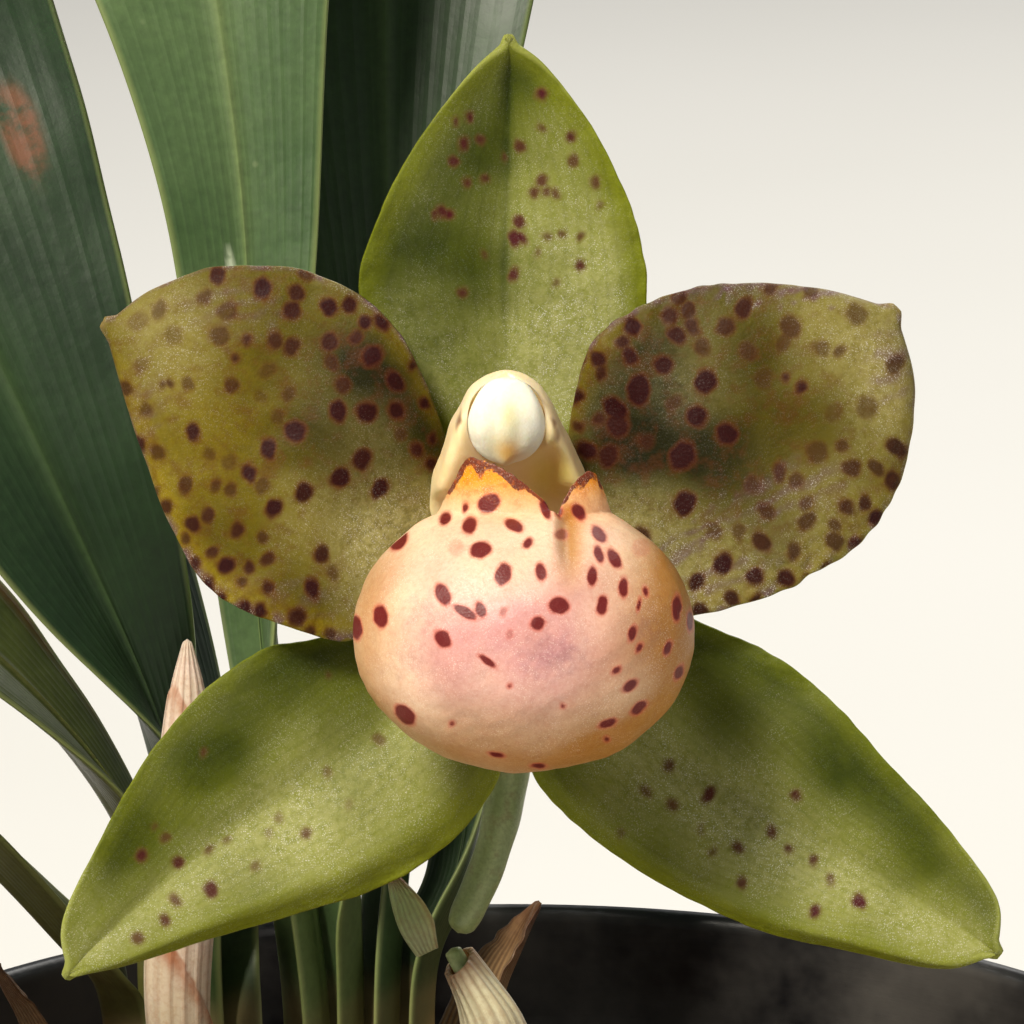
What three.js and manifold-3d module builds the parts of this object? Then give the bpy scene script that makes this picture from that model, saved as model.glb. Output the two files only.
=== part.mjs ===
// Potted orchid: one open flower with a slipper-shaped lip, a fan of leaves, a plastic pot of bark.
// Millimetres, +Z up. The origin is the middle of the pot's flat underside, and the flower faces -Y.
import * as THREE from 'three';
import { mergeVertices } from 'three/addons/utils/BufferGeometryUtils.js';
import Module from 'manifold-3d';

const wasm = await Module();
wasm.setup();

// Gap between pieces that touch
const SEAT = 0.3;

// Pot
const POT_HEIGHT = 70;
const RIM_RADIUS = 39;
const BASE_RADIUS = 28;
const POT_WALL = 1.4;
const POT_FLOOR = 1.8;
const RIM_BAND = 8;
const RIM_STEP = 1.6;
const DRAIN_HOLES = 8;
const DRAIN_RADIUS = 3;
const DRAIN_CIRCLE = 20;

// Bark mix
const MIX_EDGE_HEIGHT = 61;
const MIX_CROWN_HEIGHT = 64.5;
const CHIP_COUNT = 32;
const CHIP_SEED = 41;
const CHIP_REACH = 31;
const CHIP_CLEAR_ALONG = 16;
const CHIP_CLEAR_ACROSS = 7.5;

// Place of the leaf fan and of the flower
const CROWN = new THREE.Vector3(-12, 12, 65.5);
const FAN_DIRECTION = new THREE.Vector3(-0.94, -0.34, 0).normalize();
const FAN_FRONT = new THREE.Vector3(0, 0, 1).cross(FAN_DIRECTION);
const FLOWER_CENTRE = new THREE.Vector3(0, -10, 105);
const FLOWER_TILT = 15;
const VIEW_DISTANCE = 270;

// Tissue thickness
const TEPAL_THICKNESS = 0.7;
const LEAF_THICKNESS = 0.9;
const POUCH_WALL = 0.7;

// Lip pouch: half sizes across, up and forward, and its middle in the flower's own frame
const POUCH = { across: 7.5, up: 6.1, forward: 6.2 };
const POUCH_MIDDLE = new THREE.Vector3(0.5, -5.3, 7.0);

const COLOURS = {
  leaf: '#2f5a35',
  leafOlive: '#4d6132',
  sepal: '#8ea23c',
  petal: '#a3a13c',
  lip: '#e9b98f',
  column: '#f2d6a4',
  anther: '#fbf3d2',
  stalk: '#8c9a6a',
  bract: '#a9b98a',
  sheath: '#cdbfa6',
  paper: '#8a6a4a',
  root: '#b9b8a6',
  bark: '#6b3f28',
  pot: '#141518',
};

// A mesh with its own matt or glossy material
function piece(name, geometry, colour, roughness = 0.5) {
  const material = new THREE.MeshStandardMaterial({ color: colour, roughness, metalness: 0 });
  const mesh = new THREE.Mesh(geometry, material);
  mesh.name = name;
  return mesh;
}

// Seeded random numbers between 0 and 1
function randomSource(seed) {
  let state = seed;
  return () => {
    state = (state * 16807) % 2147483647;
    return state / 2147483647;
  };
}

function smoothStep(from, to, value) {
  return THREE.MathUtils.smoothstep(value, from, to);
}

// Value at x on the smooth curve through [x, value] stations
function stationValue(stations, x) {
  const last = stations.length - 1;
  let k = 0;
  while (k < last - 1 && x > stations[k + 1][0]) k += 1;
  const slope = (i) => {
    const low = Math.max(i - 1, 0);
    const high = Math.min(i + 1, last);
    return (stations[high][1] - stations[low][1]) / (stations[high][0] - stations[low][0]);
  };
  const [x0, y0] = stations[k];
  const [x1, y1] = stations[k + 1];
  const span = x1 - x0;
  const t = THREE.MathUtils.clamp((x - x0) / span, 0, 1);
  const t2 = t * t;
  const t3 = t2 * t;
  return (2 * t3 - 3 * t2 + 1) * y0 + (t3 - 2 * t2 + t) * span * slope(k)
    + (3 * t2 - 2 * t3) * y1 + (t3 - t2) * span * slope(k + 1);
}

function curveThrough(points) {
  const vectors = points.map((p) => new THREE.Vector3(p[0], p[1], p[2] ?? 0));
  return new THREE.CatmullRomCurve3(vectors, false, 'catmullrom', 0.5);
}

// The same route with both of its ends moved out by a length
function lengthened(path, length) {
  const points = path.map((p) => new THREE.Vector3(...p));
  const last = points.length - 1;
  const outward = (end, next) => points[end].clone().sub(points[next]).setLength(length);
  const shift = length > 0 ? [outward(0, 1), outward(last, last - 1)] : [new THREE.Vector3(), new THREE.Vector3()];
  points[0].add(shift[0]);
  points[last].add(shift[1]);
  return points.map((p) => p.toArray());
}

// Geometry from points and triangles, turned so that its faces point out
function solidGeometry(points, triangles) {
  let volume = 0;
  for (const [a, b, c] of triangles) {
    volume += points[a].dot(new THREE.Vector3().crossVectors(points[b], points[c]));
  }
  const index = [];
  for (const [a, b, c] of triangles) {
    index.push(...(volume > 0 ? [a, b, c] : [a, c, b]));
  }
  const geometry = new THREE.BufferGeometry();
  geometry.setAttribute('position', new THREE.Float32BufferAttribute(points.flatMap((p) => p.toArray()), 3));
  geometry.setIndex(index);
  geometry.computeVertexNormals();
  return geometry;
}

// Slab that follows surface(u, v), u from foot to tip and v from -1 to 1 across, alike on both faces
function slab(rows, columns, surface, thickness) {
  const grid = [];
  for (let i = 0; i <= rows; i += 1) {
    const line = [];
    for (let j = 0; j <= columns; j += 1) line.push(surface(i / rows, (2 * j) / columns - 1));
    grid.push(line);
  }
  const at = (i, j) => grid[THREE.MathUtils.clamp(i, 0, rows)][THREE.MathUtils.clamp(j, 0, columns)];
  const points = [];
  for (const side of [0.5, -0.5]) {
    for (let i = 0; i <= rows; i += 1) {
      for (let j = 0; j <= columns; j += 1) {
        const along = at(i + 1, j).clone().sub(at(i - 1, j));
        const across = at(i, j + 1).clone().sub(at(i, j - 1));
        const normal = along.cross(across).normalize();
        points.push(at(i, j).clone().addScaledVector(normal, side * thickness));
      }
    }
  }
  const width = columns + 1;
  const layer = (rows + 1) * width;
  const triangles = [];
  const quad = (a, b, c, d) => triangles.push([a, b, c], [a, c, d]);
  for (let i = 0; i < rows; i += 1) {
    for (let j = 0; j < columns; j += 1) {
      const a = i * width + j;
      const b = a + width;
      quad(a, b, b + 1, a + 1);
      triangles.push([a + layer, b + 1 + layer, b + layer], [a + layer, a + 1 + layer, b + 1 + layer]);
    }
  }
  for (let i = 0; i < rows; i += 1) {
    const left = i * width;
    const right = left + columns;
    quad(left + layer, left + width + layer, left + width, left);
    quad(right, right + width, right + width + layer, right + layer);
  }
  for (let j = 0; j < columns; j += 1) {
    const foot = j;
    const tip = rows * width + j;
    quad(foot, foot + 1, foot + 1 + layer, foot + layer);
    quad(tip + layer, tip + 1 + layer, tip + 1, tip);
  }
  return solidGeometry(points, triangles);
}

// Closed body from rings of points; the two ends close on a point each, or the last ring joins the first
function ringSolid(rings, closesOnItself = false) {
  const sides = rings[0].length;
  const points = rings.flat();
  const triangles = [];
  const count = closesOnItself ? rings.length : rings.length - 1;
  for (let i = 0; i < count; i += 1) {
    const next = (i + 1) % rings.length;
    for (let j = 0; j < sides; j += 1) {
      const k = (j + 1) % sides;
      const [a, b] = [i * sides + j, i * sides + k];
      const [c, d] = [next * sides + j, next * sides + k];
      triangles.push([a, c, d], [a, d, b]);
    }
  }
  if (!closesOnItself) {
    for (const end of [0, rings.length - 1]) {
      const middle = new THREE.Vector3();
      rings[end].forEach((p) => middle.addScaledVector(p, 1 / sides));
      points.push(middle);
      const centre = points.length - 1;
      for (let j = 0; j < sides; j += 1) {
        const [a, b] = [end * sides + j, end * sides + ((j + 1) % sides)];
        triangles.push(end === 0 ? [centre, a, b] : [centre, b, a]);
      }
    }
  }
  return solidGeometry(points, triangles);
}

// Rings across a curve, round or oval, kept level with the reference direction
function ringsAlong(curve, steps, sides, radiusAt, reference, flatness = 1) {
  const rings = [];
  for (let i = 0; i <= steps; i += 1) {
    const t = i / steps;
    const middle = curve.getPoint(t);
    const tangent = curve.getTangent(t);
    const side = reference.clone().cross(tangent).normalize();
    const face = tangent.clone().cross(side).normalize();
    const ring = [];
    for (let j = 0; j < sides; j += 1) {
      const angle = (2 * Math.PI * j) / sides;
      ring.push(middle.clone()
        .addScaledVector(side, radiusAt(t) * Math.cos(angle))
        .addScaledVector(face, radiusAt(t) * flatness * Math.sin(angle)));
    }
    rings.push(ring);
  }
  return rings;
}

// Solid for joining and cutting, from a closed geometry
function toSolid(geometry) {
  const bare = geometry.clone();
  bare.deleteAttribute('normal');
  bare.deleteAttribute('uv');
  const merged = mergeVertices(bare, 1e-4);
  return new wasm.Manifold(new wasm.Mesh({
    numProp: 3,
    vertProperties: new Float32Array(merged.attributes.position.array),
    triVerts: new Uint32Array(merged.index.array),
  }));
}

// Geometry of the largest body in a solid, so that no loose scrap stays
function toGeometry(solid) {
  const bodies = solid.decompose().sort((a, b) => b.volume() - a.volume());
  const { vertProperties, triVerts } = bodies[0].getMesh();
  const geometry = new THREE.BufferGeometry();
  geometry.setAttribute('position', new THREE.Float32BufferAttribute(vertProperties, 3));
  geometry.setIndex(new THREE.Uint32BufferAttribute(triVerts, 1));
  geometry.computeVertexNormals();
  return geometry;
}

// Point of the flower's own frame (right, up, towards the viewer) in the object's frame
function flowerPoint(right, up, forward) {
  const turn = new THREE.Euler(THREE.MathUtils.degToRad(90 - FLOWER_TILT), 0, 0);
  return new THREE.Vector3(right, up, forward).applyEuler(turn).add(FLOWER_CENTRE);
}

// Pot: tapered cup with a wider rim band, a rolled edge and drain holes round its floor
function pot() {
  const bandFoot = POT_HEIGHT - RIM_BAND;
  const wallAt = (z) => BASE_RADIUS + ((RIM_RADIUS - RIM_STEP - BASE_RADIUS) * z) / bandFoot;
  const outline = [
    [0, 0], [BASE_RADIUS - 1, 0], [BASE_RADIUS, 1], [wallAt(bandFoot), bandFoot],
    [RIM_RADIUS - 0.5, bandFoot + 0.6], [RIM_RADIUS, POT_HEIGHT - 1], [RIM_RADIUS - 0.5, POT_HEIGHT],
    [RIM_RADIUS - POT_WALL, POT_HEIGHT], [RIM_RADIUS - POT_WALL - 0.5, bandFoot + 1.5],
    [wallAt(bandFoot) - POT_WALL, bandFoot - 1], [wallAt(POT_FLOOR + 1) - POT_WALL, POT_FLOOR + 1],
    [wallAt(0) - POT_WALL - 1, POT_FLOOR], [0, POT_FLOOR],
  ].map(([radius, height]) => new THREE.Vector2(radius, height));
  let solid = toSolid(turned(outline, 36));
  for (let k = 0; k < DRAIN_HOLES; k += 1) {
    const angle = (2 * Math.PI * (k + 0.5)) / DRAIN_HOLES;
    const drill = new THREE.CylinderGeometry(DRAIN_RADIUS, DRAIN_RADIUS, 3 * POT_FLOOR, 12);
    drill.rotateX(Math.PI / 2);
    drill.translate(DRAIN_CIRCLE * Math.cos(angle), DRAIN_CIRCLE * Math.sin(angle), POT_FLOOR / 2);
    solid = solid.subtract(toSolid(drill));
  }
  return piece('pot', toGeometry(solid), COLOURS.pot, 0.35);
}

// Body turned round the Z axis
function turned(outline, segments) {
  const geometry = new THREE.LatheGeometry(outline, segments);
  geometry.rotateX(Math.PI / 2);
  return solidOutward(geometry);
}

// The same closed geometry with its faces pointing out
function solidOutward(geometry) {
  const bare = geometry.clone();
  bare.deleteAttribute('normal');
  bare.deleteAttribute('uv');
  const merged = mergeVertices(bare, 1e-4);
  const position = merged.attributes.position;
  const points = [];
  for (let i = 0; i < position.count; i += 1) points.push(new THREE.Vector3().fromBufferAttribute(position, i));
  const index = merged.index.array;
  const triangles = [];
  for (let i = 0; i < index.length; i += 3) {
    const [a, b, c] = [index[i], index[i + 1], index[i + 2]];
    if (a !== b && b !== c && c !== a) triangles.push([a, b, c]);
  }
  return solidGeometry(points, triangles);
}

// Height of the mounded mix, away from its chips
function mixHeight(x, y) {
  const near = Math.exp(-((x - CROWN.x) ** 2 + (y - CROWN.y) ** 2) / 500);
  return MIX_EDGE_HEIGHT + (MIX_CROWN_HEIGHT - MIX_EDGE_HEIGHT) * near;
}

// Body of the mix, which fills the pot up to a few millimetres under its rim
function mixBody() {
  const sides = 20;
  const bandFoot = POT_HEIGHT - RIM_BAND;
  const slope = (RIM_RADIUS - RIM_STEP - BASE_RADIUS) / bandFoot;
  const foot = POT_FLOOR + SEAT;
  const inner = (z) => BASE_RADIUS + slope * z - POT_WALL - SEAT - 0.1;
  const edge = MIX_EDGE_HEIGHT - 1.5;
  const rings = [];
  const ring = (radius, heightAt) => {
    const line = [];
    for (let j = 0; j < sides; j += 1) {
      const angle = (2 * Math.PI * j) / sides;
      const [x, y] = [radius * Math.cos(angle), radius * Math.sin(angle)];
      line.push(new THREE.Vector3(x, y, heightAt(x, y)));
    }
    rings.push(line);
  };
  ring(inner(foot) - 1.4, () => foot);
  ring(inner(foot + 2), () => foot + 2);
  ring(inner(edge), () => edge);
  for (const radius of [30, 20, 9]) ring(radius, mixHeight);
  return toSolid(ringSolid(rings));
}

// One bark chip: a flat block with knocked corners, turned and tipped
function chip(random, x, y) {
  const size = [6 + 5 * random(), 4 + 3 * random(), 3 + 1.6 * random()];
  const geometry = new THREE.BoxGeometry(...size);
  geometry.deleteAttribute('normal');
  geometry.deleteAttribute('uv');
  const merged = mergeVertices(geometry, 1e-4);
  const position = merged.attributes.position;
  for (let i = 0; i < position.count; i += 1) {
    position.setXYZ(i, position.getX(i) * (0.68 + 0.32 * random()), position.getY(i) * (0.68 + 0.32 * random()),
      position.getZ(i) * (0.75 + 0.25 * random()));
  }
  merged.rotateX((random() - 0.5) * 0.7);
  merged.rotateY((random() - 0.5) * 0.7);
  merged.rotateZ(random() * 2 * Math.PI);
  merged.translate(x, y, mixHeight(x, y) + 0.3 * size[2]);
  return merged;
}

// Bark mix: the filling with chips fused to its top, open round the stem, the roots and the scape
function barkMix(cutters) {
  const random = randomSource(CHIP_SEED);
  let solid = mixBody();
  const goldenAngle = Math.PI * (3 - Math.sqrt(5));
  for (let k = 0; k < CHIP_COUNT; k += 1) {
    const radius = CHIP_REACH * Math.sqrt((k + 0.5) / CHIP_COUNT);
    const angle = k * goldenAngle + 0.5 * random();
    const [x, y] = [radius * Math.cos(angle), radius * Math.sin(angle)];
    const one = chip(random, x, y);
    const fromCrown = new THREE.Vector3(x, y, CROWN.z).sub(CROWN);
    const [along, across] = [fromCrown.dot(FAN_DIRECTION), fromCrown.dot(FAN_FRONT)];
    const clear = Math.hypot(along / CHIP_CLEAR_ALONG, across / CHIP_CLEAR_ACROSS) > 1;
    if (clear) solid = solid.add(toSolid(one));
  }
  for (const cutter of cutters) solid = solid.subtract(cutter);
  return piece('bark_mix', toGeometry(solid), COLOURS.bark, 0.85);
}

// Stem base: a low ridge under the leaf fan, half sunk in the mix, its top at the crown's height
const STEM_HALF_LENGTH = 10.5;
const STEM_FLATNESS = 0.6;
const STEM_DEPTH = 2;
const STEM_RADII = [[0, 2.2], [0.2, 3.2], [0.5, 3.3], [0.8, 3.2], [1, 2.2]];

function stemBase(grow = 0) {
  const reach = STEM_HALF_LENGTH + grow;
  const places = [-1, -0.5, 0, 0.5, 1].map((share) => crownPoint(reach * share, 0, -STEM_DEPTH));
  const radiusAt = (t) => stationValue(STEM_RADII, t) + grow;
  const rings = ringsAlong(curveThrough(places), 8, 10, radiusAt, new THREE.Vector3(0, 0, 1), STEM_FLATNESS);
  return ringSolid(rings);
}

// Height of the stem base's top above the crown, at a place along the fan
function stemTop(along) {
  const t = (along / STEM_HALF_LENGTH + 1) / 2;
  return STEM_FLATNESS * stationValue(STEM_RADII, t) - STEM_DEPTH;
}

// Point of the crown: along the fan, in front of it and up
function crownPoint(along, front, up) {
  return CROWN.clone().addScaledVector(FAN_DIRECTION, along).addScaledVector(FAN_FRONT, front).setZ(CROWN.z + up)
    .toArray();
}

// Roots: from beside the stem base, over the chips and down into the mix
const ROOT_RADIUS = 1.1;
const ROOT_PATHS = [
  [crownPoint(8.5, 3.8, -1.9), [-19.6, 1, 66.2], [-21, -5, 65.6], [-22, -9, 57]],
  [crownPoint(-5.5, 3.9, -1.9), [-1.4, 4.6, 66.6], [5, 1.5, 66.4], [10, -1.5, 64], [12, -3, 57]],
  [crownPoint(-5, -4.6, -1.9), [-4.6, 21.5, 66.2], [0.5, 25.3, 65], [3, 27, 57]],
  [crownPoint(5, -3.9, -1.9), [-20, 19, 66], [-22.6, 20.4, 64.4], [-23.6, 20.6, 57]],
];

function rootGeometry(path, grow = 0) {
  const outline = new THREE.Shape();
  outline.absarc(0, 0, ROOT_RADIUS + grow, 0, 2 * Math.PI);
  const route = curveThrough(lengthened(path, grow));
  const options = { steps: 12, bevelEnabled: false, extrudePath: route, curveSegments: 4 };
  return solidOutward(new THREE.ExtrudeGeometry(outline, options));
}

function roots() {
  return ROOT_PATHS.map((path, k) => piece(`root_${k + 1}`, rootGeometry(path), COLOURS.root, 0.8));
}

// Leaf blade along a midrib: folded to a channel at its foot, flat and broad above, turned to the light
function bladeSurface({ path, foldedTo, faces, width, fold, taper = 1 }) {
  const midrib = curveThrough(path);
  return (u, v) => {
    const middle = midrib.getPoint(u);
    const tangent = midrib.getTangent(u);
    const turn = smoothStep(foldedTo, foldedTo + 0.3, u);
    const face = faces[0].clone().lerp(faces[1], turn);
    face.addScaledVector(tangent, -face.dot(tangent)).normalize();
    const side = tangent.clone().cross(face);
    const half = stationValue(width, u ** taper);
    const slope = stationValue(fold, u);
    const bend = Math.sqrt(v * v + 0.01) - 0.1;
    return middle
      .addScaledVector(side, half * v * Math.cos(slope))
      .addScaledVector(face, half * bend * Math.sin(slope));
  };
}

const LEAF_WIDTH = [[0, 2.3], [0.2, 2.3], [0.33, 2.9], [0.5, 5.2], [0.67, 8.8], [0.8, 10.3], [0.9, 7.8], [0.97, 3.2],
  [1, 0.5]];
const LEAF_FOLD = [[0, 0.72], [0.25, 0.7], [0.45, 0.35], [0.7, 0.16], [1, 0.12]];

// Leaves: rank 1 stands on the left of the fan and rank -1 on the right, step is the place from the middle,
// light is where the blade faces, and a taper above 1 keeps the blade narrow for longer
const LEAVES = [
  { name: 'leaf_1', rank: 1, step: 2, light: [0.35, -0.85, 0.3], scale: 1.12, taper: 1, olive: false,
    path: [[-17.3, 11, 87], [-22.5, 11.5, 101], [-30, 16, 116], [-38, 25, 130], [-46, 37, 140]] },
  { name: 'leaf_2', rank: -1, step: 1, light: [0.05, -0.9, 0.3], scale: 1.0, taper: 1.25, olive: false,
    path: [[-12.1, 13.9, 93], [-13.2, 17.3, 113], [-15.5, 22, 129], [-18.5, 30, 147], [-22, 41, 162]] },
  { name: 'leaf_3', rank: -1, step: 3, light: [-0.15, -0.9, 0.35], scale: 0.95, taper: 1.2, olive: false,
    path: [[-5.2, 18.6, 86], [-5.9, 22.5, 102], [-6.3, 29.5, 118], [-6.2, 39, 134], [-5.8, 52, 149]] },
  { name: 'leaf_4', rank: 1, step: 3, light: [0.3, -0.4, 0.85], scale: 0.82, taper: 1.1, olive: true,
    path: [[-19, 9.8, 84], [-26.5, 8, 94], [-37, 6, 101.5], [-49, 3, 105], [-60, 0, 105]] },
  { name: 'leaf_5', rank: 1, step: 4, light: [0.35, 0.1, 0.9], scale: 0.86, taper: 1.1, olive: true,
    path: [[-21.6, 6.5, 79], [-28, 0, 88], [-36, -8, 92], [-44, -17, 90], [-51, -26, 83]] },
  { name: 'leaf_6', rank: -1, step: 4, light: [-0.2, -0.25, 0.95], scale: 0.92, taper: 1.2, olive: false,
    path: [[-2.2, 16.8, 80], [-1, 22.5, 90.5], [3, 35, 96], [8, 50, 93.5], [12, 63, 84]] },
  { name: 'leaf_7', rank: 1, step: 1, light: [0.45, -0.5, 0.75], scale: 0.9, taper: 1.3, olive: false,
    path: [[-15.2, 19.2, 83], [-20.6, 28.4, 94.6], [-31, 39, 103.6], [-42, 51, 108], [-54, 63, 106]] },
  { name: 'leaf_8', rank: -1, step: 2, light: [0, -0.85, 0.45], scale: 0.45, taper: 1.35, olive: false,
    path: [[-7.9, 12.8, 82], [-6.3, 13.2, 90], [-4.4, 14.7, 97], [-2.5, 17.8, 103.5], [-1.3, 21.3, 108.5]] },
];

const FIRST_STEP = 2.4;
const STEP = 1.95;

function leaf({ name, rank, step, light, scale, taper, olive, path }) {
  const outward = FAN_DIRECTION.clone().multiplyScalar(rank);
  const along = rank * (FIRST_STEP + STEP * (step - 1));
  const foot = crownPoint(along, 0, stemTop(along) + SEAT);
  const rise = crownPoint(along, 0, 9);
  const surface = bladeSurface({
    path: [foot, rise, ...path],
    foldedTo: 0.22,
    faces: [outward.clone().negate(), new THREE.Vector3(...light)],
    width: LEAF_WIDTH.map(([u, w]) => [u, u < 0.3 ? w : w * scale]),
    fold: LEAF_FOLD,
    taper,
  });
  const colour = olive ? COLOURS.leafOlive : COLOURS.leaf;
  return piece(name, slab(15, 6, surface, LEAF_THICKNESS), colour, 0.45);
}

// Papery sheaths clasp the two ends of the fan
function sheaths() {
  return [1, -1].map((rank) => {
    const outward = FAN_DIRECTION.clone().multiplyScalar(rank);
    const place = FIRST_STEP + STEP * 4;
    const lean = (rise, out) => crownPoint(rank * (place + out), 0, rise);
    const surface = bladeSurface({
      path: [lean(stemTop(rank * place) + SEAT, 0), lean(4, 0.9), lean(8, 2.2), lean(12, 4)],
      foldedTo: 0.9,
      faces: [outward.clone().negate(), outward.clone().negate()],
      width: [[0, 2.6], [0.3, 3.2], [0.7, 2.2], [1, 0.3]],
      fold: [[0, 0.7], [1, 0.5]],
    });
    return piece(rank > 0 ? 'sheath_left' : 'sheath_right', slab(8, 4, surface, 0.6), COLOURS.paper, 0.8);
  });
}

// Young shoot: a pointed bud in front of the fan
function shootGeometry(grow = 0) {
  const route = [crownPoint(4.4, 3.6, -0.6), [-16.2, 5.6, 75], [-15.7, 5.4, 85], [-15.6, 6.4, 94.3]];
  const curve = curveThrough(lengthened(route, grow));
  const stations = [[0, 0.9], [0.3, 1.6], [0.7, 1.55], [0.9, 0.95], [1, 0.2]];
  const radiusAt = (t) => stationValue(stations, t) + grow;
  return ringSolid(ringsAlong(curve, 10, 8, radiusAt, new THREE.Vector3(0, 1, 0), 0.8));
}

// Scape: from the stem base forward, then up to the bract
const NODE_POINT = flowerPoint(-2.8, -20.1, -7);
const SCAPE_PATH = [
  crownPoint(-1.5, 3.5, -0.4), [-6.6, 3.4, 67.2], [-2.2, -4.2, 69.8], [-0.2, -8.3, 74.5], [-0.7, -9.4, 80],
  NODE_POINT.toArray(),
];
const SCAPE_RADII = [[0, 0.95], [0.4, 0.75], [0.75, 0.5], [0.95, 0.45], [1, 0.4]];

function scapeGeometry(grow = 0) {
  const radiusAt = (t) => stationValue(SCAPE_RADII, t) + grow;
  return ringSolid(ringsAlong(curveThrough(lengthened(SCAPE_PATH, grow)), 18, 8, radiusAt, new THREE.Vector3(1, 0, 0)));
}

// Inflated sheath: an open tube round the upper scape
const SHEATH_SPAN = [0.5, 0.95];
const SHEATH_RADII = [[0, 1.6], [0.35, 1.75], [0.7, 1.45], [1, 1.3]];
const SHEATH_WALL = 0.6;

function scapeSheath() {
  const curve = curveThrough(SCAPE_PATH);
  const along = (t) => THREE.MathUtils.lerp(...SHEATH_SPAN, t);
  const part = { getPoint: (t) => curve.getPoint(along(t)), getTangent: (t) => curve.getTangent(along(t)) };
  const wall = (inset) => ringsAlong(part, 7, 10, (t) => stationValue(SHEATH_RADII, t) - inset,
    new THREE.Vector3(1, 0, 0));
  const rings = [...wall(0), ...wall(SHEATH_WALL).reverse()];
  return piece('scape_sheath', ringSolid(rings, true), COLOURS.sheath, 0.6);
}

// Floral bract: a small boat that cups the foot of the pedicel
function floralBract() {
  const surface = bladeSurface({
    path: [[-4.15, -20.4, -6.6], [-4.9, -19.2, -6.3], [-5.3, -17.9, -6.1], [-5.5, -16.6, -6.0]],
    foldedTo: 0.9,
    faces: [new THREE.Vector3(0.8, 0.1, -0.4), new THREE.Vector3(0.8, 0.1, -0.4)],
    width: [[0, 1.0], [0.35, 1.7], [0.7, 1.4], [1, 0.3]],
    fold: [[0, 0.75], [1, 0.45]],
  });
  return piece('floral_bract', slab(7, 6, surface, 0.6), COLOURS.bract, 0.5);
}

// Ovary and pedicel: one stalk from the back of the flower down to the scape
function ovary() {
  const curve = curveThrough([[0, 0, -0.7], [0, -0.6, -2.9], [-0.1, -4, -5.4], [-0.1, -8.5, -6.6],
    [-0.2, -12.3, -7.0], [-1.0, -15.9, -7.0], [-2.5, -19.4, -7]]);
  const stations = [[0, 1.6], [0.14, 1.5], [0.35, 1.45], [0.6, 1.1], [0.8, 0.85], [0.95, 0.8], [1, 0.55]];
  const rings = ringsAlong(curve, 20, 10, (t) => stationValue(stations, t), new THREE.Vector3(1, 0, 0));
  return piece('ovary', ringSolid(rings), COLOURS.stalk, 0.55);
}

// Tepals: each edge runs from foot to tip through points of the flower's own frame (right, up)
const TEPALS = [
  { name: 'dorsal_sepal', kind: 'sepal', foot: -1.35, rise: 2.7, cup: 0.9, roll: 0, keel: 0.5,
    left: [[-1.4, 1.95], [-4.1, 4.6], [-6.3, 7.7], [-6.9, 10.3], [-6.1, 13.0], [-4.7, 15.9], [-3.15, 18.2],
      [-1.6, 20.0], [-0.2, 21.15]],
    right: [[1.4, 1.95], [3.9, 4.6], [5.75, 7.7], [6.05, 10.3], [5.55, 13.0], [4.4, 15.9], [3.0, 18.2],
      [1.45, 20.1], [-0.1, 21.15]] },
  { name: 'lateral_sepal_left', kind: 'sepal', foot: -1.5, rise: 3.2, cup: 0.8, roll: 0, keel: 0.4,
    left: [[-1.7, -1.45], [-4.4, -3.6], [-8.2, -5.5], [-11.0, -6.15], [-13.8, -8.0], [-16.4, -11.0],
      [-18.6, -14.9], [-20.2, -18.4], [-19.95, -20.7]],
    right: [[-0.35, -2.3], [-0.3, -7.0], [-0.45, -11.5], [-2.3, -14.4], [-5.4, -16.6], [-9.3, -17.95],
      [-13.3, -19.1], [-16.9, -20.25], [-19.85, -20.8]] },
  { name: 'lateral_sepal_right', kind: 'sepal', foot: -1.5, rise: 3.2, cup: 0.8, roll: 0, keel: 0.4,
    left: [[0.35, -2.3], [0.35, -7.2], [0.85, -11.6], [3.1, -14.2], [6.7, -16.7], [10.9, -18.7],
      [15.2, -19.75], [19.3, -20.5], [21.65, -19.8]],
    right: [[1.7, -1.45], [4.8, -3.1], [8.5, -4.95], [11.7, -6.4], [14.5, -8.6], [17.3, -11.7],
      [19.8, -14.5], [21.8, -17.4], [21.75, -19.7]] },
  { name: 'petal_left', kind: 'petal', foot: -0.2, rise: 2.4, cup: 0, roll: 1.5, keel: 0,
    left: [[-2.2, -0.8], [-4.2, -4.1], [-7.4, -5.8], [-10.6, -4.95], [-13.3, -3.7], [-15.2, -1.0],
      [-16.5, 2.4], [-17.4, 5.2], [-18.2, 8.35]],
    right: [[-2.0, 1.2], [-3.3, 3.0], [-4.0, 5.9], [-5.3, 8.4], [-7.6, 10.2], [-10.6, 11.05],
      [-13.6, 10.95], [-16.3, 9.9], [-18.1, 8.45]] },
  { name: 'petal_right', kind: 'petal', foot: -0.2, rise: 2.4, cup: 0, roll: 1.5, keel: 0,
    left: [[2.0, 1.2], [2.5, 3.3], [2.9, 5.6], [3.6, 7.6], [5.2, 8.95], [7.9, 10.05], [10.6, 10.3],
      [14.0, 10.0], [17.05, 9.05]],
    right: [[2.2, -0.8], [4.0, -3.4], [7.0, -4.75], [10.4, -4.1], [13.6, -2.85], [16.2, -0.8],
      [17.6, 1.9], [18.1, 5.6], [17.15, 8.95]] },
];

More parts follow.
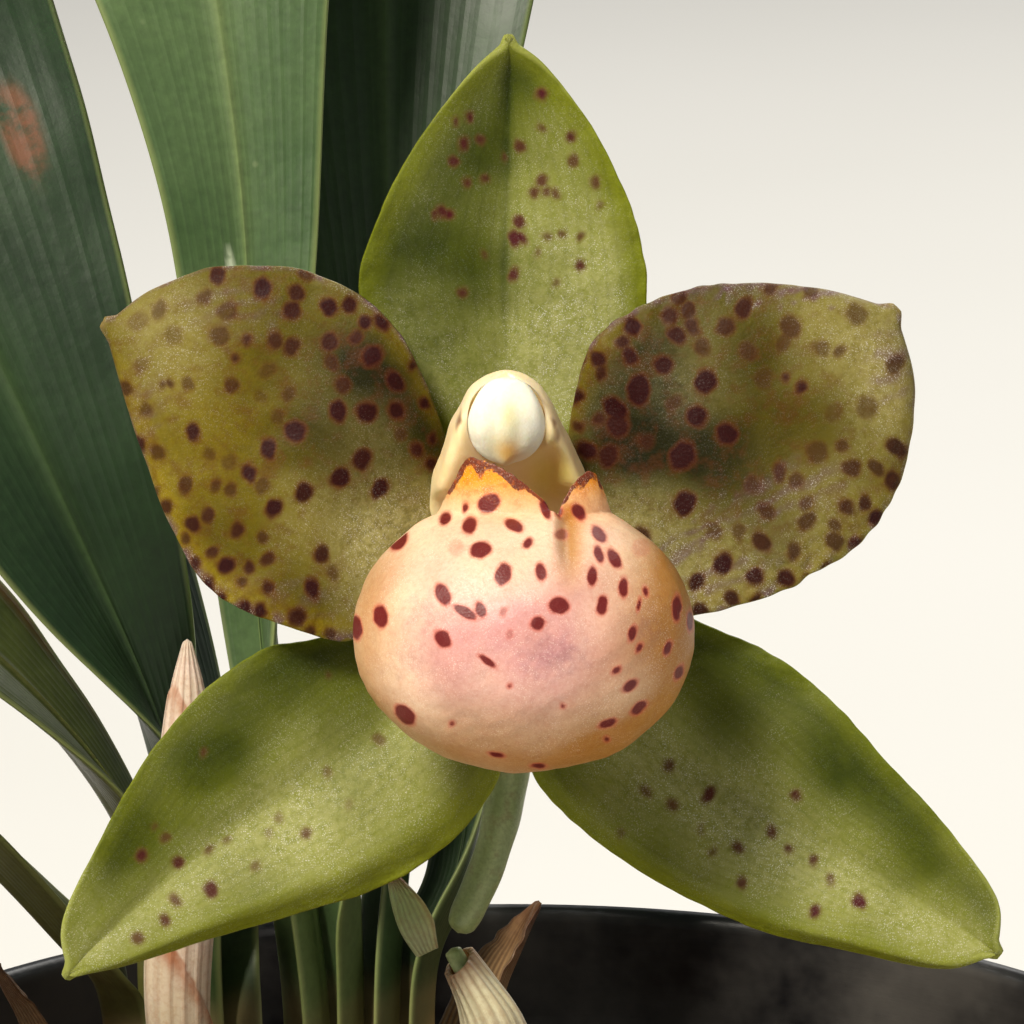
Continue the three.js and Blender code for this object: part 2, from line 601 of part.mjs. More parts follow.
// Depth of a tepal: it rises from foot to tip, its margins cup forward or roll back, its keel lies back.
// Its edges are sizes seen from the view distance, so they draw in a little where the tepal comes nearer
function tepalSurface({ foot, rise, cup, roll, keel, left, right }) {
  const [leftEdge, rightEdge] = [curveThrough(left), curveThrough(right)];
  return (u, v) => {
    const point = leftEdge.getPoint(u).lerp(rightEdge.getPoint(u), (v + 1) / 2);
    const broad = Math.sin(Math.PI * THREE.MathUtils.clamp(u, 0, 1)) ** 0.7;
    const lift = roll > 0 ? smoothStep(0, 0.45, u) : u ** 1.4;
    point.z = foot + rise * lift + cup * broad * v * v - keel * broad * Math.exp(-((v / 0.2) ** 2))
      - roll * smoothStep(0.3, 1, u) * (v ** 4 * broad + 0.5 * smoothStep(0.8, 1, u));
    const nearness = 1 - point.z / VIEW_DISTANCE;
    return point.multiply(new THREE.Vector3(nearness, nearness, 1));
  };
}

function tepals() {
  return TEPALS.map((shape) => {
    const colour = shape.kind === 'petal' ? COLOURS.petal : COLOURS.sepal;
    return piece(shape.name, slab(14, 8, tepalSurface(shape), TEPAL_THICKNESS), colour, 0.45);
  });
}

// Lip pouch: an oval globe from its lowest point up to the neck, then two flaps that rise round the mouth
const NECK_ANGLE = 2.6;
const MOUTH_BACK = 1.3;
const MOUTH_TURN = 0.38;
const LEFT_FLAP = [[0, -0.35], [0.45, 1.1], [1.1, 2.2], [1.75, 0.7], [2.4, 0.2], [3.15, 0.1]];
const RIGHT_FLAP = [[0, -0.35], [0.5, 1.75], [0.85, 1.1], [1.25, 0.15], [2.2, 0.1], [3.15, 0.1]];

function pouchPoint(height, angle, shrink) {
  const globe = Math.min(height, 0.8) / 0.8;
  const flap = Math.max(height - 0.8, 0) / 0.2;
  const polar = globe * NECK_ANGLE;
  const reach = Math.sin(polar) * (1 - 0.06 * flap);
  const lean = MOUTH_BACK * Math.max(-Math.cos(polar), 0) ** 2;
  let fromFront = angle - Math.PI / 2 + MOUTH_TURN;
  fromFront = Math.atan2(Math.sin(fromFront), Math.cos(fromFront));
  const edge = stationValue(fromFront > 0 ? LEFT_FLAP : RIGHT_FLAP, Math.abs(fromFront));
  return new THREE.Vector3(
    (POUCH.across - shrink) * reach * Math.cos(angle),
    -(POUCH.up - shrink) * Math.cos(polar) + flap * edge,
    (POUCH.forward - shrink) * reach * Math.sin(angle) - lean,
  ).add(POUCH_MIDDLE);
}

function lip() {
  const sides = 28;
  const heights = [0.03, 0.1, 0.2, 0.3, 0.4, 0.5, 0.6, 0.7, 0.8, 0.9, 1];
  const wall = (shrink) => heights.map((height) => {
    const ring = [];
    for (let j = 0; j < sides; j += 1) ring.push(pouchPoint(height, (2 * Math.PI * j) / sides, shrink));
    return ring;
  });
  const rings = [...wall(0), ...wall(POUCH_WALL).reverse()];
  return piece('lip', ringSolid(rings), COLOURS.lip, 0.4);
}

// Callus: a low ridge that lies inside the pouch, under the mouth
function callus() {
  const curve = curveThrough([[0.4, -7.6, 3.25], [0.4, -5.6, 2.9], [0.4, -3.6, 2.9], [0.4, -2.2, 3.4]]);
  const stations = [[0, 0.25], [0.3, 0.8], [0.7, 0.9], [1, 0.3]];
  const rings = ringsAlong(curve, 6, 8, (t) => stationValue(stations, t), new THREE.Vector3(1, 0, 0), 1.6);
  return ringSolid(rings);
}

// Anther cap: a smooth flat bead set into the front of the column near its end
const ANTHER_MIDDLE = new THREE.Vector3(-0.25, 4.05, 4.75);
const ANTHER_HALF = new THREE.Vector3(1.75, 2, 0.95);
const ANTHER_LEAN = 0.33;

function antherGeometry(grow) {
  const bead = new THREE.SphereGeometry(1, 14, 10);
  bead.scale(ANTHER_HALF.x + grow, ANTHER_HALF.y + grow, ANTHER_HALF.z + grow);
  bead.rotateX(ANTHER_LEAN);
  bead.translate(...ANTHER_MIDDLE.toArray());
  return solidOutward(bead);
}

// Column: a short foot that carries the lip, then an arched hood, convex behind and nearly flat in front
const COLUMN_PATH = [[0.3, -3.3, 0.45], [0.1, -1.1, 0.3], [-0.05, 0.7, 0.9], [-0.15, 2.3, 2.1], [-0.25, 4.1, 3.3],
  [-0.25, 6.25, 4.5]];
const COLUMN_HALF_WIDTH = [[0, 0.5], [0.2, 1.1], [0.34, 1.6], [0.47, 3.2], [0.57, 3.4], [0.7, 3.05], [0.8, 2.55],
  [0.93, 1.6], [1, 0.5]];
const COLUMN_HALF_DEPTH = [[0, 0.3], [0.2, 0.4], [0.4, 0.65], [0.6, 1.4], [0.8, 1.3], [0.95, 0.7], [1, 0.3]];
const COLUMN_ARM = 1.4;
const COLUMN_FRONT = 0.75;

function column() {
  const curve = curveThrough(COLUMN_PATH);
  const sides = 16;
  const steps = 14;
  const across = new THREE.Vector3(1, 0, 0);
  const rings = [];
  for (let i = 0; i <= steps; i += 1) {
    const t = i / steps;
    const front = across.clone().cross(curve.getTangent(t)).normalize();
    const [half, depth] = [stationValue(COLUMN_HALF_WIDTH, t), stationValue(COLUMN_HALF_DEPTH, t)];
    const arm = THREE.MathUtils.lerp(0.5, COLUMN_ARM, smoothStep(0.3, 0.6, t));
    rings.push(Array.from({ length: sides }, (_, j) => {
      const angle = (2 * Math.PI * j) / sides;
      const [c, s] = [Math.cos(angle), Math.sin(angle)];
      const forward = s > 0 ? arm * c * c * s ** 0.35 + COLUMN_FRONT * s : s;
      return curve.getPoint(t).addScaledVector(across, half * c).addScaledVector(front, depth * forward);
    }));
  }
  const solid = toSolid(ringSolid(rings)).subtract(toSolid(antherGeometry(SEAT)));
  return piece('column', toGeometry(solid), COLOURS.column, 0.4);
}

// The flower's pieces share one frame, tilted back to face up and forward
function flower() {
  const group = new THREE.Group();
  group.position.copy(FLOWER_CENTRE);
  group.rotation.x = THREE.MathUtils.degToRad(90 - FLOWER_TILT);
  group.add(...tepals(), lip(), piece('callus', callus(), COLOURS.lip, 0.4), column());
  group.add(piece('anther_cap', antherGeometry(0), COLOURS.anther, 0.3), ovary(), floralBract());
  return group;
}

function plant() {
  const group = new THREE.Group();
  group.add(piece('stem_base', stemBase(), COLOURS.stalk, 0.7), ...roots(), ...LEAVES.map(leaf), ...sheaths());
  group.add(piece('young_shoot', shootGeometry(), COLOURS.sheath, 0.6));
  group.add(piece('scape', scapeGeometry(), COLOURS.stalk, 0.55), scapeSheath());
  return group;
}

function orchid() {
  const cutters = [
    toSolid(stemBase(SEAT)),
    toSolid(scapeGeometry(SEAT)),
    toSolid(shootGeometry(SEAT)),
    ...ROOT_PATHS.map((path) => toSolid(rootGeometry(path, SEAT))),
  ];
  const group = new THREE.Group();
  group.add(pot(), barkMix(cutters), plant(), flower());
  return group;
}

export default orchid();
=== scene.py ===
"""Potted orchid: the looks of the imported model, built round its frame.

The scene is in metres. Sizes below are in millimetres, in the same frame as the solids: +Z up, the pot's flat
underside at the origin, the flower facing -Y. The flower's own frame is (right, up, towards the viewer).
"""

import logging
from dataclasses import dataclass, field
from enum import Enum
from typing import Callable, Sequence

import bpy  # noqa: E402
import numpy as np  # noqa: E402
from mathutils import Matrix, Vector  # noqa: E402

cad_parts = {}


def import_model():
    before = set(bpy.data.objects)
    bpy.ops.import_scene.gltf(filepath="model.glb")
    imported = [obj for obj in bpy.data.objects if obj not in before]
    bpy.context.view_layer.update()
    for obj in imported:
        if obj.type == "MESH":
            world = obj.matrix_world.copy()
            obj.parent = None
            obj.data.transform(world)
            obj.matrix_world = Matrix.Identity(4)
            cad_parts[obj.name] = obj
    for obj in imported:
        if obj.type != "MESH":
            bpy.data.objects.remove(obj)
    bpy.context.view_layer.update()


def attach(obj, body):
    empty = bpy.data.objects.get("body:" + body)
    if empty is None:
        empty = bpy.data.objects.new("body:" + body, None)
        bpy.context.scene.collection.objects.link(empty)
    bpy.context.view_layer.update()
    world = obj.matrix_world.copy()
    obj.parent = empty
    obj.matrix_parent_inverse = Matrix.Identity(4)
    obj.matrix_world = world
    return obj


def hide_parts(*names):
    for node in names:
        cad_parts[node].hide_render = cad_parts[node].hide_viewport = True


LOG = logging.getLogger("orchid")
MM = 0.001
Array = np.ndarray
Surface = Callable[[Array, Array], Array]
Colour = tuple[int, int, int]
Stations = Sequence[tuple[float, float]]
Socket = bpy.types.NodeSocket

# Place of the leaf fan and of the flower
CROWN = np.array([-12.0, 12.0, 65.5])
FAN_DIRECTION = np.array([-0.94, -0.34, 0.0]) / np.hypot(0.94, 0.34)
FAN_FRONT = np.array([-FAN_DIRECTION[1], FAN_DIRECTION[0], 0.0])
FLOWER_CENTRE = np.array([0.0, -10.0, 105.0])
FLOWER_TILT = np.radians(15.0)
VIEW_DISTANCE = 270.0
TOWARDS_VIEWER = (0.0, -0.966, 0.259)
SEAT = 0.3


# Shapes
def smooth_step(low: float, high: float, value: Array) -> Array:
    """Rises smoothly from 0 at low to 1 at high: 3t^2 - 2t^3 of the clamped share t."""
    t = np.clip((np.asarray(value, float) - low) / (high - low), 0, 1)
    return t * t * (3 - 2 * t)


def hump(value: Array, middle: float, spread: float) -> Array:
    """Bell curve of height 1: e to the minus square of the distance from middle over spread."""
    return np.exp(-(((np.asarray(value, float) - middle) / spread) ** 2))


def station_value(stations: Stations, x: Array) -> Array:
    """Smooth curve through (x, value) stations.

    Each span is a cubic whose end slopes are those of the line between the neighbouring stations.

    Args:
        stations: The (x, value) pairs, x rising.
        x: Where the curve is read; it is held at the first and last stations.

    Returns:
        The value at each x.
    """
    table = np.asarray(stations, float)
    xs, ys = table[:, 0], table[:, 1]
    last = len(xs) - 1
    low = np.maximum(np.arange(last + 1) - 1, 0)
    high = np.minimum(np.arange(last + 1) + 1, last)
    slope = (ys[high] - ys[low]) / (xs[high] - xs[low])
    x = np.clip(np.asarray(x, float), xs[0], xs[-1])
    k = np.clip(np.searchsorted(xs, x, side="left") - 1, 0, last - 1)
    span = xs[k + 1] - xs[k]
    t = (x - xs[k]) / span
    t2, t3 = t**2, t**3
    return (
        (2 * t3 - 3 * t2 + 1) * ys[k]
        + (t3 - 2 * t2 + t) * span * slope[k]
        + (3 * t2 - 2 * t3) * ys[k + 1]
        + (t3 - t2) * span * slope[k + 1]
    )


def full_turn(count: int) -> Array:
    """Angles of that count, evenly round a full turn from 0."""
    return np.linspace(0, 2 * np.pi, count, endpoint=False)


def unit(vectors: Array) -> Array:
    """Vectors of length 1 in the same directions."""
    return vectors / np.maximum(np.linalg.norm(vectors, axis=-1, keepdims=True), 1e-12)


def ripple(points: Array, size: float, seed: int, waves: int = 20) -> Array:
    """Smooth random field, mostly between -1 and 1.

    It is the sum of sine waves in random directions, each about one size long, over the square root of half
    their number.

    Args:
        points: Where the field is read, any number of coordinates each.
        size: Rough length of one wave, in the unit of the points.
        seed: Seed of the waves' directions, lengths and phases.
        waves: Number of waves.

    Returns:
        One value for each point.
    """
    random = np.random.default_rng(seed)
    direction = unit(random.normal(size=(waves, points.shape[-1])))
    pace = 2 * np.pi / size * random.uniform(0.6, 1.7, waves)
    phase = random.uniform(0, 2 * np.pi, waves)
    return np.sin(points @ (direction * pace[:, None]).T + phase).sum(-1) / np.sqrt(waves / 2) * 0.7


def in_flower(points: Array) -> Array:
    """Points of the flower's own frame, in the object's frame: turned back by the tilt and moved to its centre.

    Args:
        points: Points (right, up, towards the viewer) from the flower's centre.

    Returns:
        The same points in the object's frame.
    """
    c, s = np.cos(FLOWER_TILT), np.sin(FLOWER_TILT)
    axes = np.array([[1.0, 0.0, 0.0], [0.0, s, c], [0.0, -c, s]])
    return points @ axes + FLOWER_CENTRE


def crown_point(along: float, front: float, up: float) -> Array:
    """Point of the crown: along the fan, in front of it and up.

    Args:
        along: Distance along the fan.
        front: Distance in front of it.
        up: Height over the crown.

    Returns:
        The point in the object's frame.
    """
    point = CROWN + FAN_DIRECTION * along + FAN_FRONT * front
    point[2] = CROWN[2] + up
    return point


class Path:
    """Smooth path through points: each span is a cubic whose end slopes are half the step between neighbours."""

    def __init__(self, points: Sequence[Sequence[float]]) -> None:
        """Takes the points that the path passes through, in order.

        Args:
            points: The points, at least two.
        """
        inner = np.asarray(points, float)
        first, last = 2 * inner[0] - inner[1], 2 * inner[-1] - inner[-2]
        self.knots = np.vstack([first, inner, last])
        self.spans = len(inner) - 1

    def _corners(self, u: Array) -> tuple[list[Array], Array]:
        """The four knots round each place, and the share of the span covered there.

        Args:
            u: Shares of the path, 0 to 1.

        Returns:
            The four knots and the share of the span.
        """
        place = np.clip(np.asarray(u, float), 0, 1) * self.spans
        k = np.minimum(place.astype(int), self.spans - 1)
        return [self.knots[k + i] for i in range(4)], (place - k)[..., None]

    def at(self, u: Array) -> Array:
        """Points of the path at shares u of its length, from 0 to 1.

        Args:
            u: Shares of the path, held at its ends.

        Returns:
            One point for each share.
        """
        (a, b, c, d), t = self._corners(u)
        t2, t3 = t**2, t**3
        return ((2 * t3 - 3 * t2 + 1) * b + (t3 - 2 * t2 + t) * (c - a) / 2 + (3 * t2 - 2 * t3) * c
                + (t3 - t2) * (d - b) / 2)

    def heading(self, u: Array) -> Array:
        """Direction of the path at shares u of its length: the slope of the cubic, made 1 long.

        Args:
            u: Shares of the path, held at its ends.

        Returns:
            One direction of length 1 for each share.
        """
        (a, b, c, d), t = self._corners(u)
        t2 = t**2
        slope = (6 * t2 - 6 * t) * (b - c) + (3 * t2 - 4 * t + 1) * (c - a) / 2 + (3 * t2 - 2 * t) * (d - b) / 2
        return unit(slope)


@dataclass
class Grid:
    """A surface as rows and columns of points, whose columns may join up, with named marks for its material."""

    points: Array
    closed: bool = True
    marks: dict[str, Array] = field(default_factory=dict)

    def swell(self, middle: Array, factor: Array) -> None:
        """Moves the points away from a middle line by a factor.

        Args:
            middle: Place on the middle line for each point.
            factor: New distance from it over the old one.
        """
        self.points = middle + (self.points - middle) * factor[..., None]

    def quads(self, first: int) -> Array:
        """Corner numbers of the grid's faces, counted from the number of its first point.

        Args:
            first: Number of the grid's first point in the mesh.

        Returns:
            Four corner numbers for each face.
        """
        rows, columns = self.points.shape[:2]
        index = first + np.arange(rows * columns).reshape(rows, columns)
        if self.closed:
            index = np.concatenate([index, index[:, :1]], axis=1)
        return np.stack([index[:-1, :-1], index[1:, :-1], index[1:, 1:], index[:-1, 1:]], axis=-1).reshape(-1, 4)


def rounded_ends(t: Array, cap: float) -> Array:
    """Share of the full radius near a tube's ends: a quarter circle over the first and last cap of its length."""
    q = np.clip(np.minimum(t, 1 - t) / cap, 0, 1)
    return np.sqrt(np.clip(1 - (1 - q) ** 2, 0, 1))


def lens(surface: Surface, rows: int, columns: int, thickness: Callable[[Array, Array], Array],
         ends: float = 0.012, facing: Sequence[float] | None = None) -> Grid:
    """Closed blade round a middle surface.

    Each row runs round the blade: across its front, then back across its rear. The distance from the middle is
    half the thickness times the square root of 1 - v^6, so that the margins are round.

    Args:
        surface: Point of the middle surface at (u, v), u from foot to tip and v from -1 to 1 across.
        rows: Number of rows from foot to tip.
        columns: Number of columns across one face.
        thickness: Full thickness at (u, v).
        ends: Share of the length over which the foot and the tip close.
        facing: Direction that the front looks in, or none if the surface's own cross product gives it.

    Returns:
        The closed grid, with marks along (u), across (v) and face (1 in front, -1 behind).
    """
    rear = columns * 2 // 3
    front_run, rear_run = (np.linspace(-1, 1, n, endpoint=False) for n in (columns, rear))
    across = np.concatenate([0.75 * run + 0.25 * np.sin(np.pi / 2 * run) for run in (front_run, rear_run)])
    across[columns:] *= -1
    u, v = np.meshgrid(np.linspace(0, 1, rows), across, indexing="ij")
    face = np.broadcast_to(np.where(np.arange(columns + rear) < columns, 1.0, -1.0), u.shape)
    step = 0.004
    along = surface(np.clip(u + step, 0, 1), v) - surface(np.clip(u - step, 0, 1), v)
    aside = surface(u, v + step) - surface(u, v - step)
    normal = unit(np.cross(along, aside))
    if facing is not None and (normal * np.asarray(facing, float)).sum() < 0:
        normal = -normal
    swell = np.sqrt(np.clip(1 - np.abs(v) ** 6, 0, 1)) * rounded_ends(u, ends)
    points = surface(u, v) + normal * (0.5 * thickness(u, v) * swell * face)[..., None]
    return Grid(points, True, {"along": u, "across": v, "face": face.copy()})


def tube(path: Path, radius: Callable[[Array], Array], steps: int, sides: int, reference: Sequence[float],
         flatness: float = 1.0, cap: float = 0.03, span: tuple[float, float] = (0.0, 1.0)) -> Grid:
    """Closed tube along a path, round or oval, kept level with a reference direction.

    A point lies at the middle of its ring plus radius times (side cos a + face sin a), face made flatter.

    Args:
        path: Middle line.
        radius: Radius at each share of the length.
        steps: Number of rings.
        sides: Number of points round each ring.
        reference: Direction that the rings' first axis is square to.
        flatness: Size of the second axis over the first.
        cap: Share of the length over which each end closes.
        span: Part of the path that the tube covers.

    Returns:
        The closed grid, with marks along (0 to 1) and round (the angle).
    """
    share = np.linspace(0, 1, steps)
    share = 0.8 * share + 0.2 * (0.5 - 0.5 * np.cos(np.pi * share))
    place = span[0] + (span[1] - span[0]) * share
    t, angle = np.meshgrid(place, full_turn(sides), indexing="ij")
    along = np.broadcast_to(share[:, None], t.shape)
    tangent = path.heading(t)
    side = unit(np.cross(np.asarray(reference, float), tangent))
    face = unit(np.cross(tangent, side))
    size = radius(along) * rounded_ends(along, cap)
    offset = side * (size * np.cos(angle))[..., None] + face * (size * flatness * np.sin(angle))[..., None]
    return Grid(path.at(t) + offset, True, {"along": along.copy(), "round": angle})


def spot_fields(places: Array, spots: Array, soft: float, seed: int, wander: float = 0.08) -> tuple[Array, Array]:
    """Level and power of a set of oval spots at each place.

    A spot's level is a half on its oval and rises to 1 or falls to 0 in a straight line within its soft distance
    to either side; the highest level counts, and the power is that spot's strength. The places are first shifted
    by a small random field, so no oval is perfect.

    Args:
        places: Flat (right, up) places on the flower.
        spots: Rows of right, up, long half, wide half, turn in degrees and strength.
        soft: Distance over which a level changes by a half.
        seed: Seed of the shift.
        wander: Size of the shift.

    Returns:
        The level and the power at each place, 0 to 1.
    """
    shift = np.stack([ripple(places, 0.8, seed), ripple(places, 0.8, seed + 1)], axis=-1)
    moved = places + wander * shift
    level, power = np.zeros(places.shape[:-1]), np.zeros(places.shape[:-1])
    best = np.zeros(places.shape[:-1])
    for right, up, long, wide, turn, strength in spots:
        c, s = np.cos(np.radians(turn)), np.sin(np.radians(turn))
        dx, dy = moved[..., 0] - right, moved[..., 1] - up
        reach = np.hypot((dx * c + dy * s) / long, (dy * c - dx * s) / wide)
        own = np.clip(0.5 - 0.5 * (reach - 1) * np.sqrt(long * wide) / soft, 0, 1)
        nearer = own * strength > best
        best = np.where(nearer, own * strength, best)
        level, power = np.where(nearer, own, level), np.where(nearer, strength, power)
    return level, power


def ink(places: Array, spots: Array, soft: float, seed: int, wander: float = 0.08) -> Array:
    """Level times power of a set of oval spots at each place, as spot_fields gives them."""
    level, power = spot_fields(places, spots, soft, seed, wander)
    return level * power


def round_spots(rows: Sequence[tuple[float, float, float, float]], seed: int, stretch: float = 0.22,
                size: float = 1.0) -> Array:
    """Spots of right, up, radius and strength, each drawn out a little in a random direction.

    Args:
        rows: Right, up, radius and strength of each spot.
        seed: Seed of the random directions.
        stretch: Most that a spot is drawn out.
        size: Factor on every radius.

    Returns:
        Rows of right, up, long half, wide half, turn in degrees and strength.
    """
    random = np.random.default_rng(seed)
    table = np.asarray(rows, float)
    pull = 1 + random.uniform(0, stretch, len(table))
    turn = random.uniform(40, 140, len(table))
    radius = table[:, 2] * size
    return np.stack([table[:, 0], table[:, 1], radius * pull, radius / pull, turn, table[:, 3]], axis=-1)


# Shaders
def linear(colour: Colour) -> tuple[float, float, float, float]:
    """The shader's colour for a screen colour of 0 to 255.

    Args:
        colour: Red, green and blue, 0 to 255.

    Returns:
        Red, green, blue and alpha, 0 to 1, as light adds up.
    """
    share = np.asarray(colour, float) / 255
    value = np.where(share <= 0.04045, share / 12.92, ((share + 0.055) / 1.055) ** 2.4)
    return (float(value[0]), float(value[1]), float(value[2]), 1.0)


class Blend(Enum):
    """Ways to lay one colour over another."""

    OVER = "MIX"
    MULTIPLY = "MULTIPLY"


class Shader:
    """A material under construction: each method adds the nodes of one effect and returns its socket."""

    def __init__(self, name: str) -> None:
        """Starts an empty material of that name, read in the object's own coordinates.

        Args:
            name: Name of the material.
        """
        self.material = bpy.data.materials.new(name)
        self.material.use_nodes = True
        self.tree = self.material.node_tree
        self.surface = self.tree.nodes["Principled BSDF"]
        self.place = self.tree.nodes.new("ShaderNodeTexCoord").outputs["Object"]

    def _feed(self, target: Socket, source: object) -> None:
        """Puts a socket, a colour or a number on an input.

        Args:
            target: The input.
            source: The socket, the colour of 0 to 255 or the number.
        """
        if isinstance(source, bpy.types.NodeSocket):
            self.tree.links.new(source, target)
        elif isinstance(source, tuple) and len(source) == 3 and len(target.default_value) == 4:
            target.default_value = linear(source)
        else:
            target.default_value = source

    def mark(self, name: str) -> Socket:
        """Value of one of the mesh's marks.

        Args:
            name: Name of the mark.

        Returns:
            Socket with its value.
        """
        node = self.tree.nodes.new("ShaderNodeAttribute")
        node.attribute_name = name
        return node.outputs["Fac"]

    def calc(self, operation: str, first: object, second: object = 0.0, clamp: bool = False) -> Socket:
        """Result of one sum on two numbers or sockets.

        Args:
            operation: Name of the sum, as the math node has it.
            first: First number or socket.
            second: Second number or socket.
            clamp: Whether the result is held between 0 and 1.

        Returns:
            Socket with the result.
        """
        node = self.tree.nodes.new("ShaderNodeMath")
        node.operation = operation
        node.use_clamp = clamp
        self._feed(node.inputs[0], first)
        self._feed(node.inputs[1], second)
        return node.outputs[0]

    def times(self, first: object, second: object) -> Socket:
        """Product of two numbers or sockets."""
        return self.calc("MULTIPLY", first, second)

    def swing(self, source: Socket, size: float) -> Socket:
        """The value less a half, times size, so that it swings to both sides of 0."""
        return self.times(self.calc("SUBTRACT", source, 0.5), size)

    def span(self, source: Socket, low: float, high: float, start: float = 0.0, end: float = 1.0) -> Socket:
        """Moves a value from the range low to high onto start to end, held at both ends.

        Args:
            source: The value.
            low: Where the range begins.
            high: Where it ends.
            start: Result at low.
            end: Result at high.

        Returns:
            Socket with the moved value.
        """
        node = self.tree.nodes.new("ShaderNodeMapRange")
        for index, value in enumerate((source, low, high, start, end)):
            self._feed(node.inputs[index], value)
        return node.outputs[0]

    def stretched(self, scale: tuple[float, float, float], turn: tuple[float, float, float] = (0, 0, 0)) -> Socket:
        """The object's coordinates, turned and scaled, for a grain that runs one way.

        Args:
            scale: Factor on each axis.
            turn: Angle about each axis, in radians.

        Returns:
            Socket with the coordinates.
        """
        node = self.tree.nodes.new("ShaderNodeMapping")
        self._feed(node.inputs["Vector"], self.place)
        node.inputs["Rotation"].default_value = turn
        node.inputs["Scale"].default_value = scale
        return node.outputs[0]

    def noise(self, size: float, detail: float = 2.0, rough: float = 0.5, place: Socket | None = None) -> Socket:
        """Cloudy value around a half, with clouds of about that size in millimetres.

        Args:
            size: Size of the clouds.
            detail: Number of finer layers.
            rough: Share of the finer layers.
            place: Coordinates, or none for the object's own.

        Returns:
            Socket with the value.
        """
        node = self.tree.nodes.new("ShaderNodeTexNoise")
        self._feed(node.inputs["Vector"], place or self.place)
        node.inputs["Scale"].default_value = 1 / (size * MM)
        node.inputs["Detail"].default_value = detail
        node.inputs["Roughness"].default_value = rough
        return node.outputs["Fac"]

    def cells(self, size: float, output: str = "Distance", place: Socket | None = None) -> Socket:
        """Cell pattern with cells of about that size: the distance to the middle, or a random colour each.

        Args:
            size: Size of the cells.
            output: Distance or Color.
            place: Coordinates, or none for the object's own.

        Returns:
            Socket with the chosen output.
        """
        node = self.tree.nodes.new("ShaderNodeTexVoronoi")
        self._feed(node.inputs["Vector"], place or self.place)
        node.inputs["Scale"].default_value = 1 / (size * MM)
        return node.outputs[output]

    def ramp(self, source: Socket, *stops: tuple[float, Colour]) -> Socket:
        """Colour read from stops along a value.

        Args:
            source: The value.
            stops: Pairs of place and colour, from low to high.

        Returns:
            Socket with the colour.
        """
        node = self.tree.nodes.new("ShaderNodeValToRGB")
        self._feed(node.inputs[0], source)
        band = node.color_ramp
        band.elements[0].position, band.elements[0].color = stops[0][0], linear(stops[0][1])
        band.elements[1].position, band.elements[1].color = stops[-1][0], linear(stops[-1][1])
        for position, colour in stops[1:-1]:
            band.elements.new(position).color = linear(colour)
        return node.outputs[0]

    def mix(self, share: object, under: object, over: object, way: Blend = Blend.OVER) -> Socket:
        """Lays one colour over another by a share.

        Args:
            share: How much of the upper colour shows, 0 to 1.
            under: Lower colour.
            over: Upper colour.
            way: How the upper one is laid.

        Returns:
            Socket with the mixed colour.
        """
        node = self.tree.nodes.new("ShaderNodeMix")
        node.data_type = "RGBA"
        node.blend_type = way.value
        self._feed(node.inputs[0], share)
        self._feed(node.inputs[6], under)
        self._feed(node.inputs[7], over)
        return node.outputs[2]

    def relief(self, height: Socket, depth: float, strength: float = 1.0, under: Socket | None = None) -> Socket:
        """Bumps of that depth in millimetres, on top of earlier ones.

        Args:
            height: Value that gives the height.
            depth: Height of the bumps.
            strength: Share of the effect.
            under: Earlier bumps, or none.

        Returns:
            Socket with the bent normal.
        """
        node = self.tree.nodes.new("ShaderNodeBump")
        node.inputs["Strength"].default_value = strength
        node.inputs["Distance"].default_value = depth * MM
        self._feed(node.inputs["Height"], height)
        if under is not None:
            self._feed(node.inputs["Normal"], under)
        return node.outputs["Normal"]

    def finish(self, colour: object, normal: Socket | None = None, **settings: object) -> bpy.types.Material:
        """Sets the surface's colour, bumps and other inputs, named in lower case, and returns the material.

        Args:
            colour: Base colour or its socket.
            normal: Bumps, or none.
            settings: Other inputs by their short names below.

        Returns:
            The finished material.
        """
        self._feed(self.surface.inputs["Base Color"], colour)
        if normal is not None:
            self._feed(self.surface.inputs["Normal"], normal)
        names = {
            "rough": "Roughness", "gloss": "Specular IOR Level", "coat": "Coat Weight",
            "coat_rough": "Coat Roughness",
            "depth": "Subsurface Weight", "reach": "Subsurface Radius", "reach_scale": "Subsurface Scale",
            "sheen": "Sheen Weight", "sheen_rough": "Sheen Roughness", "through": "Transmission Weight",
        }
        for name, value in settings.items():
            self._feed(self.surface.inputs[names[name]], value)
        return self.material


